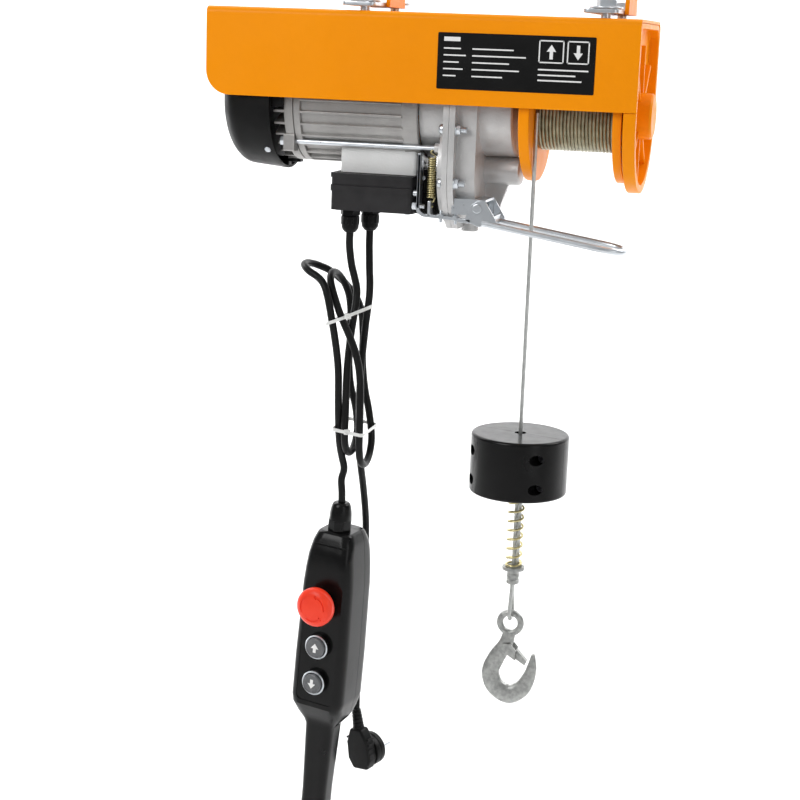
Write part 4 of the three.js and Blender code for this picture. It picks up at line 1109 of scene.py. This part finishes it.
# ---------------------------------------------------------------- limit lever
def limit_lever():
    (x, z), near, far = PIVOT, LEVER["near"], LEVER["far"]
    ear = rounded([(52, -197), (58, -182), (66, -176.5), (72, -177.5), (84, -196), (83, -200), (66, -203)],
                  2.5)
    far_ear = rounded([(60.8, -197), (60.8, -181), (66, -176.5), (72, -177.5), (84, -196), (83, -200),
                       (66, -203)], 2)
    strip = rounded([(1, -192.5), (7, -197), (54, -199.5), (54, -196.5), (8, -194), (4, -190), (4, -135),
                     (1, -135)], [2, 3, 0.4, 0.4, 2, 1.5, 0.4, 0.4])
    plates = [extruded("ear", ear, "Y", near - 1.2, near + 1.2),
              extruded("far_ear", far_ear, "Y", far - 1.2, far + 1.2)]
    for plate, y in zip(plates, (near, far)):
        cut(plate, rod("hole", "Y", 3.3, y - 5, y + 5, (x, z)))
    parts = [*plates, block("bridge", (78, 80.4), (near, far), (-201, -192)),
             extruded("strip", strip, "Y", -54, -50),
             block("leg", (1, 4), (-54, -42), (-190, -135), 1.5, "X"),
             extruded("shelf", [(46, -199.5), (58, -200), (58, -196), (46, -196)], "Y", near - 1.2, -50),
             block("tab", (12.5, 15.5), (-54, -43), (-196.5, -181), 1, "X")]
    for part in parts:
        softened(part, 0.4)
    slope = (-219 + 199) / (204 - 70)

    def height(px):
        return -199 + slope * (px - 70)

    def side(y, way):
        line = ((70, y), (110, y), (150, y), (188, y), (199, y + 3 * way), (206, y + 9 * way))
        return [(px, py, height(px)) for px, py in line]

    path = side(near, 1) + [(208, (near + far) / 2, height(208))] + side(far, -1)[::-1]
    parts.append(sweep("loop", smooth_line(path, 8), 3.2, 20))
    piece(together("lever_shape", *parts), zinc, ["limit_lever"], 0, body="lever")


def lever_fasteners():
    """The adjusting screw's and the strip's nuts and studs."""
    for i, (x, z) in enumerate(((26, -198.2), (41, -199.0))):
        nut = hexagon("nut", "Z", 3.6, z + 2.2, z + 5.0, (x, -52), "high")
        stud = threaded("stud", "Z", 1.6, z - 3.5, z + 8.5, (x, -52), 0.8)
        piece(together(f"lever_nut_{i + 1}", softened(nut, 0.15), stud), zinc, (), 0, body="lever")
    head = hexagon("head", "X", 3.8, -3.4, 0.9, (-52, -187), "low")
    screw = threaded("screw", "X", 2, 0.8, 9, (-52, -187), 0.8)
    piece(together("lever_adjusting_screw", softened(head, 0.15), screw), zinc, (), 0, body="lever")


def lever_spring():
    x, y, low, high = (LEVER_SPRING[k] for k in ("x", "y", "low", "high"))
    coil = spiral(x, y, low, high, 3.6, 18, 24, 0)
    low_hook = [(px, y, pz) for px, pz in ((17.6, low), (16.8, -181.5), (x, -183.5), (12, -186),
                                           (x, -188.4), (16.4, -186.4))]
    top_hook = [(px, y, pz) for px, pz in ((17.6, high), (16.5, -137), (x, -135.5), (12, -133.5),
                                           (x, -131.6))]
    spring = together("lever_coil", sweep("coil", coil, 0.9, 10),
                      sweep("low_hook", smooth_line(low_hook, 6), 0.8, 10),
                      sweep("top_hook", smooth_line(top_hook, 6), 0.8, 10))
    piece(spring, yellow_zinc, ["lever_spring"], 0, body="lever")
    world = spring.matrix_world.copy()
    spring.parent = None
    spring.matrix_world = world
    del spring["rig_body"]
    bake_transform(spring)


def pivot_pin():
    (x, z), near, far = PIVOT, LEVER["near"], LEVER["far"]
    section = [(near - 3.3, 3.4), (near - 2.9, 4.6), (near - 1.5, 4.6), (near - 1.5, 3), (far + 1.5, 3),
               (far + 1.5, 4.6), (far + 2.9, 4.6), (far + 3.3, 3.4)]
    piece(turned("pivot_rivet", section, "Y", (x, z), 48), zinc, ["lever_pivot_pin"], 0.25)


# ---------------------------------------------------------------- terminal box
def terminal_box():
    x, y = (BOX["left"], BOX["right"]), (BOX["front"], BOX["back"])
    base = block("base", x, y, (BOX["joint"] + 0.3, BOX["top"]), 6)
    lip = block("lip", (x[0] - 1, x[1]), (y[0] - 1, y[1] + 1), (BOX["top"] - 4.5, BOX["top"]), 6.5)
    welded(base, lip)
    cut(base, block("inside", (x[0] + 2.5, x[1] - 2.5), (y[0] + 2.5, y[1] - 2.5),
                    (BOX["joint"] - 1, BOX["top"] - 2.5), 4))
    base.name = "box_base_moulding"
    piece(base, box_black, ["terminal_box_base"], 0.7, 3)

    cover = block("lid", x, y, (BOX["bottom"], BOX["joint"]), 6)
    band = block("band", (x[0] - 1, x[1]), (y[0] - 1, y[1] + 1), (BOX["joint"] - 6, BOX["joint"]), 6.5)
    welded(cover, band)
    cut(cover, block("inside", (x[0] + 2.5, x[1] - 2.5), (y[0] + 2.5, y[1] - 2.5),
                     (BOX["bottom"] + 2.5, BOX["joint"] + 1), 4))
    for gx, gy in GLANDS.values():
        cut(cover, rod("hole", "Z", 6.3, BOX["bottom"] - 1, BOX["joint"], (gx, gy)))
    cut(cover, rod("hole", "X", 3.8, x[1] - 8, x[1] + 4, PLUNGER))
    cover.name = "box_lid_moulding"
    piece(cover, box_black, ["terminal_box_cover"], 0.8, 3)
    for i, (sx, sy) in enumerate(((-83, -43), (-11, -43), (-83, 27), (-11, 27))):
        head = turned("head", [(BOX["bottom"] - 1.4, 1.6), (BOX["bottom"] - 1.2, 2.6),
                               (BOX["bottom"] - 0.1, 3.2)], "Z", (sx, sy), 24)
        cut(head, block("driver", (sx - 2, sx + 2), (sy - 0.35, sy + 0.35),
                        (BOX["bottom"] - 2, BOX["bottom"] - 0.7)))
        head.name = f"box_lid_screw_{i + 1}"
        piece(head, zinc, (), 0.1)


def cable_gland(name, x, y):
    bottom = BOX["bottom"]
    end = bottom - 25
    nut = hexagon("nut", "Z", 10.5, bottom - 8, bottom - 0.3, (x, y))
    section = [(end, CABLE + 0.3), (end, 5.4), (end + 0.6, 6), (end + 2.5, 7.6), (end + 4.5, 8.7),
               (bottom - 8.6, 9.3), (bottom - 8, 8.8), (bottom - 8, CABLE + 0.3), (end, CABLE + 0.3)]
    cap = turned("cap", section, "Z", (x, y), 64)
    parts = [softened(nut, 0.4), cap]
    for i in range(12):
        a = tau * i / 12
        rib = block("rib", (-0.9, 0.9), (8.3, 9.6), (bottom - 17, bottom - 9))
        softened(rib, 0.4)
        parts.append(moved(rib, Matrix.Translation((x, y, 0)) @ Matrix.Rotation(a, 4, "Z")))
    parts.append(turned("thread", [(bottom - 1, 5.9), (bottom + 8, 5.9)], "Z", (x, y), 32))
    cut(parts[0], rod("bore", "Z", CABLE + 0.3, end - 1, bottom + 9, (x, y)))
    cut(parts[-1], rod("bore", "Z", CABLE + 0.3, end - 1, bottom + 9, (x, y)))
    piece(together(f"gland_{name}_shape", *parts), black, [f"gland_{name}"], 0)


def limit_switch():
    low, high = BOX["bottom"], -152
    body = block("switch", (BOX["right"] + 0.3, 20.5), (-38, 6), (low, high), 2.5, "Y")
    seam = block("seam", (-5, 22), (-39, 7), (-175.5, -174.5))
    cut(body, seam)
    softened(body, 0.6, 3)
    core = block("core", (BOX["right"] + 0.9, 19.9), (-37.4, 5.4), (low + 1, high - 1), 2, "Y")
    panel = block("panel", (0, 17), (-39, -37.5), (low + 4, -178), 1.5, "Y")
    upper = block("upper", (0, 17), (-39, -37.5), (-172, high - 4), 1.5, "Y")
    parts = [body, core, softened(panel, 0.5), softened(upper, 0.5)]
    piece(together("limit_switch_case", *parts), black, ["limit_switch"], 0)
    for i, z in enumerate((low + 8, high - 8)):
        head = turned("head", [(-40.2, 1.2), (-40, 2.2), (-38.9, 2.4)], "Y", (3.5, z), 24)
        head.name = f"switch_screw_{i + 1}"
        piece(head, zinc, (), 0.1)
    section = [(-14, 3.2), (-13.6, 3.5), (-0.6, 3.5), (0.2, 3), (0.6, 1.8)]
    piece(turned("plunger_pin", section, "X", PLUNGER, 40), zinc, ["limit_plunger"], 0, body="plunger")


# ---------------------------------------------------------------- pendant switch
FACE = -24.5
BUTTON_HEIGHTS = {"estop": -76, "up": -125, "down": -166}
COLLARS = {"estop": (14, 3.5), "up": (13.8, 5.5), "down": (13.8, 5.5)}
WIDTHS = [(0, 20), (-12, 24), (-50, 29), (-140, 31), (-188, 31), (-212, 26), (-224, 17), (-300, 14.5),
          (-345, 14.5)]
FRONTS = [(0, -16), (-26, -24.5), (-196, -24.5), (-217, -11), (-300, -9), (-345, -9)]
REARS = [(0, 28), (-20, 36.5), (-200, 36.5), (-222, 21), (-300, 18), (-345, 18)]


def along_table(table, z):
    for (z0, v0), (z1, v1) in zip(table, table[1:]):
        if z >= z1:
            return v0 + (v1 - v0) * (z0 - z) / (z0 - z1)
    return table[-1][1]


def pendant_form(name):
    """The handset, lofted through rounded rectangles that follow its front and side outlines."""
    levels = [-0.01, -1.2, -3, -8, -12, -18, -26, -40, -60, -85, -115, -140, -165, -188, -196, -203, -209,
              -214, -219, -224, -232, -250, -275, -300, -325, -340, -343.5, -344.99]
    rings = []
    for z in levels:
        w, front, rear = (along_table(t, z) for t in (WIDTHS, FRONTS, REARS))
        pull = {-0.01: 2.4, -1.2: 0.9, -3: 0.2, -343.5: 1.2, -344.99: 4}.get(z, 0)
        w, front, rear = w - pull, front + pull, rear - pull
        r = min(13, w * 0.6)
        rings.append([(px, py, z) for px, py in rounded([(-w, front), (w, front), (w, rear), (-w, rear)],
                                                        r, 7)])
    return fixed(loft(name, rings))


def pendant_shells():
    parting = 14
    for side, y0, y1 in (("front", -80, parting), ("rear", parting + 0.35, 80)):
        shell = pendant_form("shell")
        combined(shell, block("part", (-80, 80), (y0, y1), (-400, 10)), "INTERSECT")
        if side == "front":
            panel = rounded([(-22, -54), (22, -54), (22, -191), (-22, -191)], 7)
            cut(shell, extruded("panel", panel, "Y", FACE - 2, FACE + 1.0))
            groove = block("groove", (-26, 26), (-40, -19), (-14.5, -12.6))
            cut(shell, groove)
            for key, (radius, rise) in COLLARS.items():
                z, lip = BUTTON_HEIGHTS[key], FACE - rise
                section = [(lip + 0.6, radius - 1), (lip, radius - 1.6), (lip, 11.2), (FACE + 3, 11.2),
                           (FACE + 3, radius), (lip + 1.2, radius), (lip + 0.6, radius - 1)]
                welded(shell, turned("collar", section, "Y", (0, z), 64))
                cut(shell, rod("bore", "Y", 9.3 if key == "estop" else 11.3, FACE - 9, -8, (0, z), 64))
        cut(shell, rod("mouth", "Z", 7.3, -10, 10, (0, 0)))
        shell.name = f"pendant_{side}_moulding"
        piece(moved(shell, PENDANT_PLACE), gloss_black, [f"pendant_{side}_shell"], 0.5, 3, 45)


def pendant_parts():
    nut = turned("nut", [(0.3, 13), (12, 13)], "Z", (0, 0), 8)
    section = [(11, CABLE + 0.3), (11, 12), (14, 12), (20, 11.6), (26, 10.5), (29, 9.4), (30.6, 8),
               (31, 6.5), (31, CABLE + 0.3), (11, CABLE + 0.3)]
    cut(nut, rod("bore", "Z", CABLE + 0.3, -1, 14, (0, 0)))
    neck = turned("neck", [(-9, 6.9), (6, 6.9)], "Z", (0, 0), 32)
    cut(neck, rod("bore", "Z", CABLE + 0.3, -10, 7, (0, 0)))
    gland = together("pendant_gland_shape", softened(nut, 0.7, 3),
                     turned("dome", section, "Z", (0, 0), 64), neck)
    piece(moved(gland, PENDANT_PLACE), gloss_black, ["pendant_gland"], 0)

    stem = turned("estop_collar", [(FACE - 9, 8.6), (FACE - 8.6, 9), (FACE + 10, 9)], "Y",
                  (0, BUTTON_HEIGHTS["estop"]), 48)
    piece(moved(stem, PENDANT_PLACE), black, ["estop_stem"], 0, body="estop_actuator", slot="grey_plastic")
    mushroom()
    for key in ("up", "down"):
        push_button(key)


def mushroom():
    z, base = BUTTON_HEIGHTS["estop"], FACE - 9.3
    section = [(base, 8), (base, 17.6), (base - 0.6, 18.8), (base - 3, 20.7), (base - 5, 21),
               (base - 8.6, 21), (base - 10, 20.4), (base - 12.4, 17.8), (base - 13.4, 15.2),
               (base - 14, 11), (base - 14.3, 6), (base - 14.5, 1)]
    head = turned("mushroom", section, "Y", (0, z), 96)
    for i in range(3):
        start = 120 * i
        outer = arc(0, z, 14.6, start, start + 74, 14)
        inner = arc(0, z, 12.6, start + 74, start, 14)
        tip = radians(start + 74)
        peak = [(13.6 * cos(tip + 0.24), z + 13.6 * sin(tip + 0.24)),
                (10.9 * cos(tip), z + 10.9 * sin(tip))]
        wide = (16.3 * cos(tip), z + 16.3 * sin(tip))
        cut(head, extruded("arrow", [*outer, wide, *peak, *inner], "Y", base - 20, base - 12.7))
    head.name = "estop_mushroom"
    piece(moved(head, PENDANT_PLACE), red, ["estop_head"], 0.35, 2, body="estop_cap")


def push_button(key):
    z = BUTTON_HEIGHTS[key]
    top = FACE - 9.5
    lip = FACE - COLLARS[key][1]
    section = [(FACE + 9, 11), (top + 1.2, 11), (top + 0.4, 10.6), (top, 9.8), (top + 0.5, 9.2),
               (top + 0.35, 5), (top + 0.3, 1)]
    cap = turned("cap", section, "Y", (0, z), 72)
    cap.name = f"{key}_button_cap"
    piece(moved(cap, PENDANT_PLACE), grey, [f"{key}_button"], 0,
          body=f"{'raise' if key == 'up' else 'lower'}_button")
    sign = 1 if key == "up" else -1
    arrow = [(0, 5.2), (4.6, -0.4), (1.7, -0.4), (1.7, -5), (-1.7, -5), (-1.7, -0.4), (-4.6, -0.4)]
    mark = extruded("mark", [(px, z + sign * pz) for px, pz in arrow], "Y", top + 0.15, top + 0.6)
    mark.name = f"{key}_button_arrow"
    piece(moved(mark, PENDANT_PLACE), white_print, (), 0,
          body=f"{'raise' if key == 'up' else 'lower'}_button")
    section = [(lip - 0.1, 11.5), (lip - 0.7, 12), (lip - 0.7, 12.7), (lip, 13.3), (lip + 0.2, 12.4),
               (lip + 0.2, 11.5), (lip - 0.1, 11.5)]
    ring = turned("ring", section, "Y", (0, z), 72)
    ring.name = f"{key}_button_ring"
    piece(moved(ring, PENDANT_PLACE), zinc, (), 0)


# ---------------------------------------------------------------- plug
def plug():
    """The angled plug. Its cable comes in from above, behind the round face that holds the pins."""
    relief = []
    for i in range(6):
        z, r = -26 + 4.2 * i, 6.8 - 0.28 * i
        relief += [(z, r), (z + 2.4, r - 0.1), (z + 2.8, r - 1.1), (z + 3.9, r - 1.1)]
    relief += [(-0.8, 5.2), (0, 4.6)]
    sleeve = turned("relief", relief, "Z", (0, 0), 48)
    outline = [(-8, -22), (8, -22), (15, -38), (16, -58), (10, -70), (-10, -70), (-16, -58), (-15, -38)]
    grip = softened(extruded("grip", outline, "Y", -7, 7), 2.4, 4)
    rim = [(6, 17), (6.5, 18.4), (8, 19), (12, 19), (12.6, 18.3), (13.4, 18.3), (14, 19), (18.6, 19),
           (19.7, 18.5), (20, 17.6), (19.4, 16.6), (19.4, 2)]
    disc = turned("disc", rim, "Y", (0, -52), 96)
    ribs = []
    for side in (-1, 1):
        for z in (-34, -40, -46, -52, -58):
            rib = block("rib", (side * 15.3 - 0.9, side * 15.3 + 0.9), (-5, 5), (z - 1.1, z + 1.1))
            ribs.append(softened(rib, 0.6))
    moulding = together("plug_moulding", sleeve, grip, disc, *ribs)
    pins = [turned("pin", [(19, 2.4), (37.4, 2.4), (38.4, 1.9), (39, 1)], "Y", (x, -52), 32)
            for x in (-9.5, 9.5)]
    moulding = piece(moved(moulding, PLUG_PLACE), rubber, ["plug"], 0)
    metal = piece(moved(together("plug_pins", *pins), PLUG_PLACE), zinc, (), 0, slot="steel")
    return [moulding, metal]


# ---------------------------------------------------------------- small pieces
def cable_ties():
    """Two nylon ties around the hank, each with its lock and its cut tail."""
    upper = [(-92.8, -47), (-76, -47), (-55.6, -14), (-55.6, -1), (-71, 26.7), (-88.8, 26.7)]
    lower = [(-85, -38.2), (-51.6, -38.2), (-51.8, 18.2), (-85, 18.2)]
    strap = ((-0.5, -1.8), (0.5, -1.8), (0.5, 1.8), (-0.5, 1.8))
    for name, z, slant, corners in (("upper", -304, 0.42, upper), ("lower", -428, -0.12, lower)):
        outline = rounded(corners, 4.6, 6)
        line = [Vector((px, py, z + slant * (px + 68))) for px, py in outline]
        rings = []
        for point in line:
            out = Vector((point.x + 68, point.y + 10, 0)).normalized()
            rings.append([point + out * p + Vector((0, 0, q)) for p, q in strap])
        band = fixed(loft("band", rings, closed=True))
        face = line[0].y - 1.5
        lock = block("lock", (-72, -66), (face - 2.6, face + 1),
                     (z + slant * -1 - 2.8, z + slant * -1 + 2.8), 0.8, "Y")
        tail = block("tail", (-70, -67.6), (face - 7, face - 1.5), (z - 1.4, z + 0.2))
        for part in (band, lock, tail):
            softened(part, 0.25)
        piece(together(f"cable_tie_{name}", band, lock, tail), nylon, (), 0)


def dress_cad():
    """Gives the CAD nodes that stay their materials, most of them inside."""
    for name, look in (("stator", copper), ("rotor", steel), ("cooling_fan", black),
                       ("intermediate_gear", steel),
                       ("intermediate_shaft", steel), ("output_gear", steel), ("drum_shaft", steel),
                       ("drum_bearing", steel), ("start_capacitor", grey)):
        dress(name, look, 0.3)
    dress("hook_latch", forged, 0.3)
    dress("lever_bracket", zinc, 0.4)


power, power_length = add_cords()
plug_pieces = plug()
TO_ROW @ Vector(POWER_ROUTE[0])
frame_channel()
end_cover()
hangers()
label_plate()
motor_housing()
end_bell()
fan_cover()
tie_rods()
gearbox()
flange_bolts()
drum()
winding()
hanging_rope()
limit_block()
block_screws()
buffer_spring()
rope_tail()
ferrule()
rope_eye()
forged_hook()
limit_lever()
lever_fasteners()
lever_spring()
pivot_pin()
terminal_box()
for gland_name, gland_place in GLANDS.items():
    cable_gland(gland_name, *gland_place)
limit_switch()
pendant_shells()
pendant_parts()
cable_ties()
dress_cad()
